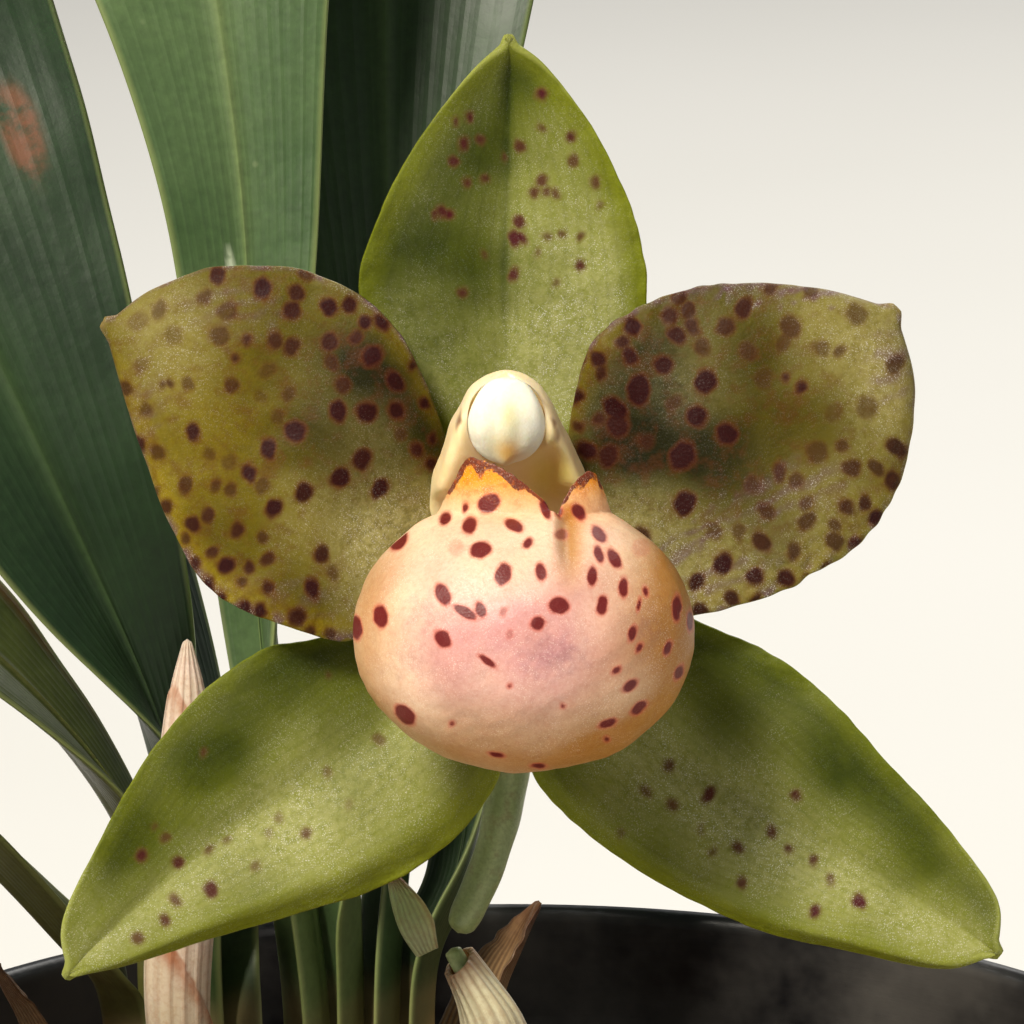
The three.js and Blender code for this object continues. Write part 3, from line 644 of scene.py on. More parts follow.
# Finishes
@dataclass(frozen=True)
class TepalFinish:
    """Living tissue of a sepal or a petal: a two-tone ground with painted light and shade, fine cells with painted
    glints, a painted sheen, veins, spots and a pale rim.
    """

    name: str
    # Dark and pale ground, laid by the tone mark: partly the tissue's own tone, partly painted shade and painted
    # light
    deep: Colour
    light: Colour
    # Silvery tissue, which on the lit parts also stands as a painted sheen
    silver: Colour
    gold: Colour
    spot: Colour
    halo: Colour
    rim: Colour
    vein: float = 0.5
    mottling: float = 0.0

    def build(self) -> bpy.types.Material:
        """Makes the material from its marks: tone with painted light and shade, silver with a painted sheen, gold,
        violet, vein, edge, ink and power.

        Returns:
            The finished material.
        """
        s = Shader(self.name)
        cloud = s.noise(2.6, 3, 0.55)
        fine = s.noise(0.35, 4, 0.65)
        # Painted light and shade: the tone mark lays the dark ground where shade falls and the pale ground where
        # light falls; cloudy noise adds the tissue's own tone
        shade = s.calc("ADD", s.mark("shade"), s.swing(cloud, 0.55), clamp=True)
        ground = s.mix(shade, self.deep, self.light)
        # Silver broken by fine grain: silvery tissue, and a painted sheen where it lies on the lit parts
        grain = s.times(s.mark("silver"), s.span(fine, 0.34, 0.62, 0.35, 1.0))
        ground = s.mix(grain, ground, self.silver)
        ground = s.mix(s.mark("gold"), ground, self.gold)
        vein = s.times(s.mark("vein"), self.vein)
        ground = s.mix(vein, ground, (112, 122, 54), Blend.MULTIPLY)
        ground = s.mix(s.times(s.mark("violet"), s.span(fine, 0.3, 0.7, 0.5, 1.0)), ground, (96, 62, 88))
        ground = s.mix(s.span(fine, 0.3, 0.75, 0.0, 0.22), ground, (30, 38, 14), Blend.MULTIPLY)
        dirt = s.times(s.span(s.noise(0.9, 4, 0.65), 0.48, 0.66), s.span(s.mark("silver"), 0.2, 0.8, 1.0, 0.3))
        ground = s.mix(s.times(dirt, self.mottling), ground, self.halo)
        rim = s.span(s.mark("edge"), 0.22, 0.04)
        ground = s.mix(s.times(rim, 0.35), ground, self.rim)
        level = s.calc("ADD", s.mark("ink"), s.swing(fine, 0.16))
        power = s.mark("power")
        halo = s.times(s.span(level, 0.12, 0.52), s.span(power, 0.0, 1.0, 0.0, 0.8))
        tinted = s.mix(halo, ground, self.halo)
        core = s.times(s.span(level, 0.34, 0.66), s.span(power, 0.2, 1.0, 0.12, 0.97))
        tinted = s.mix(core, tinted, self.spot)
        # Painted glints: tiny pale highlights on scattered cells, in clusters, strongest on the silvery and violet
        # parts and faint on the spots
        grain = s.times(s.span(s.cells(0.062), 0.55, 0.2), s.span(s.cells(0.062, "Color"), 0.35, 0.9))
        glint = s.times(grain, s.span(s.noise(1.1, 3, 0.6), 0.36, 0.62, 0.15, 1.0))
        shiny = s.calc("ADD", s.mark("silver"), s.mark("violet"), clamp=True)
        glint = s.times(glint, s.span(shiny, 0.0, 1.0, 0.08, 1.0))
        glint = s.times(glint, s.span(core, 0.1, 0.7, 1.0, 0.3))
        tinted = s.mix(s.times(glint, 0.85), tinted, (222, 220, 216))
        normal = s.relief(s.cells(0.14), 0.03, 0.55)
        normal = s.relief(vein, 0.08, 0.35, normal)
        normal = s.relief(cloud, 0.2, 0.25, normal)
        rough = s.span(fine, 0.3, 0.7, 0.5, 0.68)
        return s.finish(tinted, normal, rough=rough, gloss=0.13, depth=0.25, reach=(0.9, 1.0, 0.35),
                        reach_scale=0.7 * MM)


@dataclass(frozen=True)
class LipFinish:
    """Waxy skin of the pouch: cream, rose and gold zones, the gold partly painted shade, orange flaps, maroon
    spots, faint violet clouds and painted glints.
    """

    name: str = "lip_skin"
    cream: Colour = (245, 216, 178)
    rose: Colour = (206, 150, 148)
    gold: Colour = (176, 122, 54)
    orange: Colour = (240, 150, 12)
    violet: Colour = (146, 98, 112)
    spot: Colour = (100, 12, 14)
    halo: Colour = (196, 82, 62)

    def build(self) -> bpy.types.Material:
        """Makes the material from the marks rose, gold, orange, violet, ink, power, dash and inside.

        Returns:
            The finished material.
        """
        s = Shader(self.name)
        cloud = s.noise(2.2, 3, 0.5)
        fine = s.noise(0.22, 4, 0.7)
        wobble = s.swing(cloud, 0.5)
        skin = s.mix(s.calc("ADD", s.mark("rose"), wobble, clamp=True), self.cream, self.rose)
        # Gold-brown: the pouch's own colour on its sides, gold-brown with painted shade on the bottom, and painted
        # shade on the lower right and in the crease below the notch
        skin = s.mix(s.calc("ADD", s.mark("gold"), s.times(wobble, 0.6), clamp=True), skin, self.gold)
        skin = s.mix(s.mark("orange"), skin, self.orange)
        skin = s.mix(s.times(s.mark("violet"), s.span(fine, 0.3, 0.6, 0.5, 1.0)), skin, self.violet)
        skin = s.mix(s.times(s.mark("inside"), 0.6), skin, (196, 132, 40))
        skin = s.mix(s.span(fine, 0.42, 0.75, 0.0, 0.3), skin, (214, 150, 126), Blend.MULTIPLY)
        level = s.calc("ADD", s.mark("ink"), s.swing(fine, 0.14))
        power = s.mark("power")
        skin = s.mix(s.times(s.span(level, 0.14, 0.48), s.span(power, 0.0, 1.0, 0.0, 0.7)), skin, self.halo)
        core = s.times(s.span(level, 0.38, 0.6), s.span(power, 0.3, 1.0, 0.0, 0.97))
        skin = s.mix(core, skin, self.spot)
        grain = s.noise(0.16, 2, 0.6)
        speck = s.span(s.calc("ADD", s.mark("dash"), s.swing(grain, 0.9)), 0.3, 0.55)
        skin = s.mix(s.times(speck, 0.94), skin, (84, 14, 12))
        rust = s.times(s.mark("orange"), s.span(s.noise(0.55, 4, 0.7), 0.5, 0.62))
        skin = s.mix(s.times(rust, 0.5), skin, (190, 92, 22))
        # Painted glints: tiny near-white highlights on scattered cells, in clusters, faint on the spots
        glint_cells = s.times(s.span(s.cells(0.062), 0.55, 0.2), s.span(s.cells(0.062, "Color"), 0.4, 0.9))
        glint_cells = s.times(glint_cells, s.span(s.noise(1.4, 3, 0.6), 0.4, 0.62, 0.2, 1.0))
        glint = s.times(glint_cells, s.span(core, 0.1, 0.7, 0.45, 0.06))
        skin = s.mix(glint, skin, (255, 244, 228))
        normal = s.relief(s.cells(0.11), 0.02, 0.5)
        normal = s.relief(cloud, 0.3, 0.25, normal)
        return s.finish(skin, normal, rough=s.span(fine, 0.3, 0.7, 0.42, 0.54), gloss=0.36, depth=0.25,
                        reach=(1.0, 0.55, 0.35), reach_scale=0.8 * MM)


@dataclass(frozen=True)
class FleshFinish:
    """Pale flesh of the column, the anther cap and the stalks: one tone over another by the mark tint."""

    name: str
    base: Colour
    tint: Colour
    deep: Colour
    gloss: float = 0.4
    depth: float = 0.4
    grain: float = 0.3
    mottle: Colour = (120, 84, 60)
    mottling: float = 0.0

    def build(self) -> bpy.types.Material:
        """Makes the material from the marks tint, deep and ink.

        Returns:
            The finished material.
        """
        s = Shader(self.name)
        cloud = s.noise(1.6, 3, 0.55)
        fine = s.noise(0.2, 4, 0.65)
        wobble = s.swing(cloud, 0.5)
        skin = s.mix(s.calc("ADD", s.mark("tint"), wobble, clamp=True), self.base, self.tint)
        skin = s.mix(s.mark("deep"), skin, self.deep)
        skin = s.mix(s.span(fine, 0.35, 0.75, 0.0, self.grain), skin, self.deep, Blend.MULTIPLY)
        skin = s.mix(s.times(s.span(s.noise(0.8, 3, 0.6), 0.52, 0.68), self.mottling), skin, self.mottle)
        skin = s.mix(s.mark("ink"), skin, (96, 40, 26))
        normal = s.relief(s.cells(0.12), 0.02, 0.5)
        normal = s.relief(cloud, 0.25, 0.3, normal)
        return s.finish(skin, normal, rough=s.span(fine, 0.3, 0.7, 0.3, 0.46), gloss=self.gloss, depth=self.depth,
                        reach=(1.0, 0.75, 0.4), reach_scale=1.1 * MM, coat=0.12, coat_rough=0.25)


@dataclass(frozen=True)
class LeafFinish:
    """Leathery leaf: deep green with parallel veins, a paler midrib and keel, a brown foot and small scars."""

    name: str
    deep: Colour
    light: Colour
    under: Colour
    foot: Colour = (150, 132, 92)
    stain: Colour = (104, 64, 38)

    def build(self) -> bpy.types.Material:
        """Makes the material from the marks vein, midrib, foot, stain, edge and face.

        Returns:
            The finished material.
        """
        s = Shader(self.name)
        cloud = s.noise(9, 4, 0.6)
        fine = s.noise(0.5, 4, 0.6)
        skin = s.mix(s.span(cloud, 0.3, 0.7), self.deep, self.light)
        behind = s.span(s.mark("face"), 0.2, -0.2)
        skin = s.mix(s.times(behind, 0.75), skin, self.under)
        skin = s.mix(s.times(s.mark("vein"), 0.16), skin, self.light)
        skin = s.mix(s.times(s.mark("midrib"), 0.55), skin, self.under)
        skin = s.mix(s.span(fine, 0.3, 0.75, 0.0, 0.3), skin, (20, 34, 18), Blend.MULTIPLY)
        skin = s.mix(s.mark("foot"), skin, self.foot)
        worn = s.times(s.mark("stain"), s.span(s.noise(1.4, 4, 0.65), 0.34, 0.56))
        skin = s.mix(worn, skin, self.stain)
        skin = s.mix(s.times(s.span(s.mark("edge"), 0.35, 0.05), 0.45), skin, (150, 158, 96))
        speck = s.times(s.span(s.cells(2.3), 0.09, 0.04), s.span(s.noise(14, 2, 0.5), 0.52, 0.6))
        skin = s.mix(s.times(speck, 0.3), skin, (150, 160, 120))
        normal = s.relief(s.mark("vein"), 0.06, 0.35)
        normal = s.relief(fine, 0.05, 0.4, normal)
        normal = s.relief(cloud, 0.6, 0.25, normal)
        return s.finish(skin, normal, rough=s.span(cloud, 0.3, 0.7, 0.42, 0.56), gloss=0.4, depth=0.06,
                        reach=(0.4, 1.0, 0.25), reach_scale=0.8 * MM, coat=0.04, coat_rough=0.3)


@dataclass(frozen=True)
class FibreFinish:
    """Dry or silky tissue with fibres along it: papery sheaths, the young shoot and the scape's sheath."""

    name: str
    base: Colour
    tint: Colour
    stain: Colour
    fibre: float = 0.5
    depth: float = 0.2

    def build(self) -> bpy.types.Material:
        """Makes the material from the marks tint, fibre and stain.

        Returns:
            The finished material.
        """
        s = Shader(self.name)
        cloud = s.noise(2.4, 4, 0.6)
        fine = s.noise(0.3, 4, 0.65)
        wobble = s.swing(cloud, 0.6)
        skin = s.mix(s.calc("ADD", s.mark("tint"), wobble, clamp=True), self.base, self.tint)
        skin = s.mix(s.times(s.mark("fibre"), self.fibre), skin, self.stain, Blend.MULTIPLY)
        skin = s.mix(s.times(s.mark("stain"), s.span(cloud, 0.3, 0.6, 0.4, 1.0)), skin, self.stain)
        skin = s.mix(s.span(fine, 0.45, 0.8, 0.0, 0.4), skin, self.stain)
        normal = s.relief(s.mark("fibre"), 0.12, 0.6)
        normal = s.relief(fine, 0.06, 0.5, normal)
        return s.finish(skin, normal, rough=s.span(fine, 0.3, 0.7, 0.42, 0.66), gloss=0.35, depth=self.depth,
                        reach=(1.0, 0.7, 0.5), reach_scale=1.0 * MM)


@dataclass(frozen=True)
class BarkFinish:
    """Fir bark: red-brown chips, each its own tone, with dark layers, cracks and a dusty bloom on top."""

    name: str = "bark_chips"
    dark: Colour = (44, 26, 17)
    warm: Colour = (122, 70, 40)
    pale: Colour = (158, 120, 84)

    def build(self) -> bpy.types.Material:
        """Makes the material from the marks tone and layer.

        Returns:
            The finished material.
        """
        s = Shader(self.name)
        cloud = s.noise(3.2, 5, 0.65)
        fine = s.noise(0.45, 5, 0.7)
        tone = s.calc("ADD", s.mark("tone"), s.swing(cloud, 0.9), clamp=True)
        bark = s.ramp(tone, (0.0, self.dark), (0.35, (84, 46, 27)), (0.7, self.warm), (1.0, self.pale))
        layers = s.calc("SINE", s.calc("ADD", s.times(s.mark("layer"), 9.0), s.times(cloud, 7.0)))
        bark = s.mix(s.span(layers, 0.2, 0.9, 0.0, 0.55), bark, self.dark, Blend.MULTIPLY)
        cracks = s.span(s.cells(2.1), 0.42, 0.62)
        bark = s.mix(s.times(cracks, 0.35), bark, self.dark)
        bark = s.mix(s.span(fine, 0.5, 0.8, 0.0, 0.5), bark, (172, 142, 108))
        normal = s.relief(layers, 0.3, 0.45)
        normal = s.relief(cracks, 0.3, 0.4, normal)
        normal = s.relief(fine, 0.25, 0.7, normal)
        return s.finish(bark, normal, rough=s.span(fine, 0.3, 0.7, 0.74, 0.95), gloss=0.2)


@dataclass(frozen=True)
class PotFinish:
    """Black moulded plastic: a faint orange-peel skin, dust in its corners and fine scuffs round the rim."""

    name: str = "pot_plastic"
    body: Colour = (22, 23, 26)
    dust: Colour = (104, 98, 90)

    def build(self) -> bpy.types.Material:
        """Makes the material from the marks worn and dusty.

        Returns:
            The finished material.
        """
        s = Shader(self.name)
        cloud = s.noise(14, 5, 0.65)
        peel = s.noise(0.7, 2, 0.5)
        scuff = s.noise(2.5, 4, 0.7, s.stretched((1.0, 1.0, 9.0)))
        skin = s.mix(s.span(cloud, 0.35, 0.7, 0.0, 0.5), self.body, (34, 36, 41))
        dusty = s.times(s.mark("dusty"), s.span(cloud, 0.36, 0.62))
        skin = s.mix(s.times(dusty, 0.5), skin, self.dust)
        worn = s.times(s.mark("worn"), s.span(scuff, 0.5, 0.68))
        skin = s.mix(s.times(worn, 0.5), skin, (92, 94, 98))
        spots = s.times(s.span(s.cells(6.5), 0.2, 0.12), s.span(cloud, 0.45, 0.6))
        skin = s.mix(s.times(spots, 0.3), skin, (150, 148, 140))
        normal = s.relief(peel, 0.03, 0.45)
        normal = s.relief(scuff, 0.03, 0.3, normal)
        rough = s.calc("ADD", s.span(cloud, 0.3, 0.7, 0.3, 0.42), s.times(dusty, 0.35))
        return s.finish(skin, normal, rough=rough, gloss=0.5)


@dataclass(frozen=True)
class RootFinish:
    """Spongy grey-white skin of an orchid root, with pits, green where it is thin and brown where it is old."""

    name: str = "root_skin"
    base: Colour = (184, 182, 166)
    green: Colour = (118, 132, 84)
    brown: Colour = (128, 98, 66)

    def build(self) -> bpy.types.Material:
        """Makes the material from noise and the mark tint.

        Returns:
            The finished material.
        """
        s = Shader(self.name)
        cloud = s.noise(3.0, 4, 0.6)
        fine = s.noise(0.4, 4, 0.7)
        skin = s.mix(s.span(cloud, 0.42, 0.66), self.base, self.green)
        skin = s.mix(s.times(s.mark("tint"), s.span(fine, 0.3, 0.6, 0.4, 1.0)), skin, self.brown)
        skin = s.mix(s.span(fine, 0.5, 0.78, 0.0, 0.6), skin, self.brown)
        normal = s.relief(s.cells(0.35), 0.1, 0.5)
        normal = s.relief(fine, 0.12, 0.6, normal)
        return s.finish(skin, normal, rough=0.82, gloss=0.2, sheen=0.15, sheen_rough=0.6)


# Spots, in millimetres as the flower is seen from the front
# Right, up, radius, strength
DORSAL_SPOTS = [
    (1.4, 18.8, .28, 1), (-2, 17.8, .22, .9), (-2.6, 17.6, .15, .8), (2.7, 16.9, .25, .9), (1.4, 17.3, .2, .6),
    (-2.25, 16.6, .3, .9), (-1.5, 16.8, .22, .8), (.5, 16.5, .28, .8), (-2.7, 15.8, .25, .9),
    (2.8, 15.8, .3, .7), (-.4, 16, .15, .7), (-1.3, 15, .2, .8), (-2.1, 14.8, .22, .8), (1.4, 14.9, .28, .8),
    (1.1, 14.4, .26, .8), (1.6, 14.4, .2, .8), (2, 14.3, .22, .7), (3.8, 14.85, .3, .7), (-3.2, 13.5, .33, .9),
    (-2.9, 13.4, .28, 1), (-3.5, 13.4, .2, .8), (.45, 13.05, .33, .9), (.2, 12.3, .38, 1), (.55, 12.3, .3, 1),
    (1.6, 12.4, .2, .6), (3.1, 12.4, .2, .8), (2.25, 12.5, .2, .7), (.15, 10.7, .33, .9), (3.1, 11.1, .28, .9),
    (-2.3, 9.9, .25, .8), (2, 10.35, .15, .6), (-1.3, 11.6, .15, .6), (4, 13.8, .2, .5), (1.2, 11.7, .15, .6),
]
LEFT_SEPAL_SPOTS = [
    (-16.7, -15.4, .3, .9), (-15.6, -14.6, .25, .6), (-15, -15.7, .32, .9), (-13.6, -15.2, .25, .6),
    (-12.8, -14.8, .2, .5), (-15.1, -17.5, .3, .7), (-13.5, -17, .38, .9), (-11.5, -16, .25, .5),
    (-15.6, -18.4, .3, .8), (-16.8, -19.2, .28, .7), (-9.2, -14.5, .28, .7), (-10.45, -13.8, .25, .45),
    (-10.9, -14.5, .2, .4), (-8.3, -11.7, .25, .45), (-6, -10.3, .35, .5), (-13.9, -10.8, .18, .7),
    (-16.1, -14.05, .12, .6), (-7.3, -13.2, .2, .3), (-8.3, -7.3, .12, .6),
]
RIGHT_SEPAL_SPOTS = [
    (6, -12.6, .25, .6), (7.2, -13.2, .3, .7), (8.8, -12.8, .35, .9), (7, -11.5, .3, .7),
    (12.8, -12.7, .25, .9), (10.1, -15.1, .3, .8), (11.6, -14.4, .25, .8), (12.4, -15.2, .22, .8),
    (13.5, -15.7, .25, .8), (10.3, -16.7, .3, .8), (14.3, -16.6, .22, .7), (15.6, -17.55, .35, 1),
    (13.6, -18, .28, 1), (9, -15.3, .22, .5), (8.5, -14.3, .2, .4), (4.9, -14.4, .2, .4),
]
LEFT_PETAL_SPOTS = [
    (-13.2, 10.6, .38, .9), (-13.8, 9.6, .3, .5), (-11.2, 10.0, .42, 1), (-9.7, 9.8, .38, .85),
    (-9.9, 9.0, .4, .9), (-8.2, 9.2, .4, 1), (-7.3, 9.3, .36, .95), (-9.25, 10.7, .35, .7), (-6.6, 8.5, .3, 1),
    (-5.9, 8.5, .33, 1), (-7.0, 7.8, .26, .8), (-8.2, 7.6, .38, .85), (-6.3, 7.0, .44, 1), (-8.1, 6.7, .33, .6),
    (-5.3, 5.9, .4, 1), (-4.5, 6.6, .2, .9), (-10.65, 7.7, .35, .75), (-9.9, 7.4, .38, .8),
    (-11.9, 7.7, .2, .8), (-12.4, 6.9, .18, .75), (-12.8, 9.0, .42, .5), (-13.1, 7.9, .45, .55),
    (-15.8, 9.0, .36, .5), (-15.2, 7.9, .4, .35), (-16.7, 8.5, .4, .3), (-11.0, 6.4, .35, .4),
    (-12.6, 5.7, .34, .65), (-10.0, 5.3, .32, .5), (-11.3, 5.2, .3, .3), (-7.6, 5.7, .35, .7),
    (-7.85, 4.5, .42, 1), (-6.6, 4.5, .45, 1), (-5.3, 4.6, .38, 1), (-4.0, 4.9, .22, 1), (-5.1, 3.5, .25, .5),
    (-4.4, 2.8, .3, .9), (-3.7, 3.3, .18, .9), (-3.8, 2.2, .25, .9), (-9.7, 3.6, .48, 1), (-10.9, 2.8, .4, 1),
    (-10.5, 4.3, .3, .4), (-11.8, 1.7, .36, 1), (-6.8, 2.4, .45, .95), (-7.8, 1.6, .46, 1), (-6.0, 1.1, .42, 1),
    (-9.4, .9, .4, .95), (-10.7, .2, .38, 1), (-11.2, 1.15, .34, .5), (-12.7, 2.2, .34, .4),
    (-14.3, 3.6, .33, .95), (-13.6, 2.6, .3, .45), (-13.3, 1.2, .26, .6), (-12.6, 1.0, .28, .6),
    (-14.6, 1.2, .34, .7), (-15.8, 2.7, .35, .65), (-16.7, 3.1, .32, .9), (-17.2, 5.6, .3, .7),
    (-16.4, 4.7, .28, .5), (-15.35, 5.8, .17, .7), (-15.7, 5.7, .13, .6), (-14.5, 5.75, .28, .5),
    (-16.6, 6.6, .3, .35), (-14.3, -.5, .34, .9), (-13.6, -.1, .3, .8), (-15.5, .25, .3, .8),
    (-14.6, -1.2, .24, .7), (-12.3, -.8, .33, .8), (-11.2, -1.1, .28, .65), (-13.4, -1.8, .27, .8),
    (-12.8, -2.4, .38, 1), (-11.8, -2.5, .28, .85), (-14.2, -2.3, .24, .9), (-12.1, -3.15, .22, .7),
    (-11.0, -2.1, .3, .8), (-11.0, -3.4, .28, .85), (-8.6, -1.9, .36, .9), (-9.0, -3.4, .37, 1),
    (-8.1, -2.7, .32, .5), (-13.6, -3.3, .3, 1), (-13.05, -3.9, .25, 1), (-12.0, -4.3, .3, 1),
    (-11.3, -4.45, .3, 1), (-9.7, -4.7, .4, .9), (-9.1, -5.4, .25, .8), (-8.2, -5.5, .28, .7),
    (-16.0, .9, .2, .7), (-15.1, -1.6, .22, .8),
]
RIGHT_PETAL_SPOTS = [
    (7.5, 9.7, .35, .7), (7.9, 9.0, .36, .75), (7.1, 8.8, .36, .8), (5.4, 8.3, .4, 1), (8.1, 8.3, .36, .8),
    (7.4, 7.9, .4, .9), (8.55, 7.4, .36, .6), (4.95, 7.6, .28, .85), (5.3, 7.0, .34, .95), (3.0, 6.9, .36, 1),
    (3.9, 6.9, .34, .95), (4.05, 6.3, .28, .8), (6.8, 6.6, .43, .95), (5.7, 5.5, .6, 1), (3.0, 5.2, .3, .95),
    (4.7, 4.7, .52, 1), (4.8, 3.9, .5, .9), (4.0, 4.2, .28, .7), (3.1, 3.9, .24, .75), (8.7, 5.85, .5, 1),
    (7.3, 4.9, .33, .45), (8.3, 4.3, .44, 1), (9.6, 3.5, .48, 1), (7.7, 2.55, .58, 1), (3.5, 2.8, .42, 1),
    (4.4, 2.55, .45, .85), (6.1, 3.2, .35, .5), (10.4, 9.1, .42, .85), (9.6, 8.3, .4, .75), (12.5, 8.3, .5, .6),
    (12.2, 7.6, .4, .45), (10.6, 7.2, .38, .5), (11.3, 6.0, .42, .35), (13.0, 5.6, .24, .95),
    (12.3, 6.0, .16, .85), (13.9, 7.3, .37, .45), (14.7, 7.2, .22, .6), (15.4, 8.8, .42, .5),
    (17.1, 6.6, .38, .7), (15.9, 4.7, .48, .45), (14.45, 4.5, .4, .3), (17.2, 2.9, .44, .85),
    (15.25, 2.0, .4, .7), (16.3, 2.0, .35, .7), (17.05, 1.4, .42, .85), (15.8, .4, .3, .85),
    (15.0, .2, .34, .8), (16.4, -.3, .4, 1), (14.45, -.6, .3, .6), (14.45, -1.3, .4, .7), (15.5, -1.5, .38, .9),
    (13.2, -.4, .38, .7), (13.2, .4, .3, .5), (12.0, 1.7, .35, .65), (12.75, 1.4, .32, .6),
    (10.8, 1.2, .37, .5), (11.4, .06, .35, .65), (13.7, 2.7, .5, .5), (14.8, 3.0, .27, .6), (7.8, .4, .52, 1),
    (5.9, -1.05, .4, .8), (9.1, -.8, .38, .5), (11.2, -1.3, .42, .8), (10.2, -.85, .32, .5),
    (9.5, -2.3, .44, 1), (8.35, -3.1, .38, .95), (10.9, -2.9, .38, .95), (12.3, -3.0, .42, .95),
    (12.65, -1.75, .36, .7), (9.9, -3.9, .36, .9), (10.95, -4.0, .3, .9), (8.5, -4.5, .4, .9),
    (14.1, -2.7, .38, .95), (13.3, -3.1, .28, .9), (11.6, 10.0, .3, .7), (13.4, 9.9, .38, .6),
]
BACK_SPOTS = [
    (-6.1, -2.0, .34, .9), (-5.2, -6.3, .3, .8), (-3.4, -1.2, .32, .9), (-2.9, -4.2, .26, .8),
    (-1.8, -7.7, .3, .7), (-.2, -2.3, .3, .9), (.9, -5.6, .28, .8), (2.2, -3.3, .34, .9), (3.1, -7.6, .26, .7),
    (4.3, -1.4, .3, .9), (5.2, -5.0, .3, .8), (6.6, -2.7, .32, .9), (6.9, -6.2, .26, .8), (-6.9, -5.2, .28, .8),
    (.4, -9.4, .24, .6),
]
# Right, up, long half, wide half, turn in degrees, strength
LIP_SPOTS = np.array([
    (-5.1, -1.25, .5, .33, 60, 1), (-3.0, -.3, .3, .2, 55, 1), (-2.1, .2, .2, .12, 80, 1),
    (-1.9, -.6, .38, .3, 70, 1), (-1.05, .4, .48, .4, 30, 1), (.1, -.6, .42, .24, -25, 1),
    (.7, -1.4, .24, .17, 40, 1), (-1.4, -1.7, .46, .35, 15, 1), (-.4, -2.8, .5, .34, 70, 1),
    (1.3, -2.7, .37, .23, 100, 1), (-3.1, -3.7, .5, .3, 115, 1), (-2.1, -4.5, .55, .22, -30, 1),
    (-1.4, -4.4, .34, .22, 110, 1), (-5.9, -4.7, .48, .3, 95, 1), (-7.0, -5.2, .5, .25, 95, 1),
    (-3.1, -5.7, .42, .3, -50, 1), (-.4, -4.5, .2, .14, 60, .6), (-.1, -5.5, .2, .15, 60, .5),
    (-1.1, -6.7, .42, .14, -35, 1), (1.15, -5.0, .3, .3, 0, 1), (2.1, -4.2, .44, .37, 0, 1),
    (1.5, .1, .42, .18, 115, 1), (2.1, .05, .26, .15, 90, 1), (3.0, 0, .38, .25, 120, 1),
    (2.2, -1.0, .28, .2, 0, .7), (3.9, -1.0, .42, .24, 125, 1), (3.9, -1.9, .38, .18, 105, 1),
    (4.6, -2.1, .46, .24, 120, 1), (3.6, -2.9, .42, .2, 85, 1), (5.0, -3.4, .42, .2, 90, 1),
    (4.05, -4.2, .42, .24, 80, 1), (6.0, -3.55, .2, .1, 100, 1), (5.7, -4.15, .26, .08, 80, 1),
    (5.4, -5.45, .34, .15, 75, 1), (5.7, -6.1, .22, .12, 60, 1), (7.4, -4.3, .55, .2, 88, 1),
    (8.0, -4.9, .42, .14, 90, 1), (7.0, -6.1, .3, .16, 70, 1), (7.5, -7.2, .33, .16, 65, 1),
    (5.3, -7.8, .36, .2, 35, 1), (4.7, -7.1, .22, .13, 35, 1), (5.7, -8.8, .38, .2, 40, 1),
    (4.3, -9.5, .38, .18, 20, 1), (-4.8, -9.1, .52, .32, -45, 1), (-.7, -10.9, .3, .1, -10, 1),
    (1.2, -11.4, .28, .1, 0, 1), (-6.4, -2.2, .4, .18, 60, 1), (-.1, -7.8, .08, .08, 0, 1),
    (2.3, -8.7, .08, .08, 0, 1), (4.25, -10.2, .1, .1, 0, 1), (-2.7, -9.5, .09, .09, 0, 1),
    (-2.5, -1.6, .32, .32, 0, .35), (5.8, -1.6, .35, .35, 0, .35),
])
VIOLET_CLOUDS = np.array([
    (-4.1, -4.55, .6, .45, 30, .4), (-4.5, -6.6, .7, .5, 0, .3), (1.8, -6.5, 1.0, .6, 0, .55),
    (6.1, -5.3, .5, .4, 90, .3),
])
COLUMN_DASHES = [(-2.35, 4.05, .42, .08, 78, .8), (1.85, 3.95, .3, .07, 105, .7), (2.0, 3.35, .2, .1, 80, .6),
                 (1.35, 4.9, .4, .06, 120, .4), (-.9, 6.1, .15, .08, 20, .35)]
# Violet stains of the right petal: its top margin, the tip and the streaks beside the pouch
RIGHT_PETAL_VIOLET = [
    (12.0, 10.0, 5.5, .5, 0, .6), (17.0, 6.5, .9, 1.4, 0, .55), (7.6, -1.6, 2.6, .5, 35, .6),
    (9.2, -3.0, 2.4, .5, 20, .55), (12.6, 1.0, 2.4, 1.0, 20, .4),
]
LEFT_PETAL_VIOLET = [(-16.6, 4.0, .8, 2.2, -10, .3), (-9.5, -3.8, 1.8, .7, -10, .25),
                     (-12.5, 9.0, 2.0, 1.2, 0, .25)]


# Pieces
def outward(points: Array, quads: Array) -> Array:
    """Turns a closed skin's faces outward, by the sign of its volume: the sum of a.(b x c) over its triangles.

    Args:
        points: All points of the mesh.
        quads: Corner numbers of one closed skin's faces.

    Returns:
        The corner numbers, in the order that looks outward.
    """
    middle = points[np.unique(quads)].mean(0)
    a, b, c, d = (points[quads[:, i]] - middle for i in range(4))
    volume = (a * np.cross(b, c)).sum() + (a * np.cross(c, d)).sum()
    return quads if volume > 0 else quads[:, ::-1]


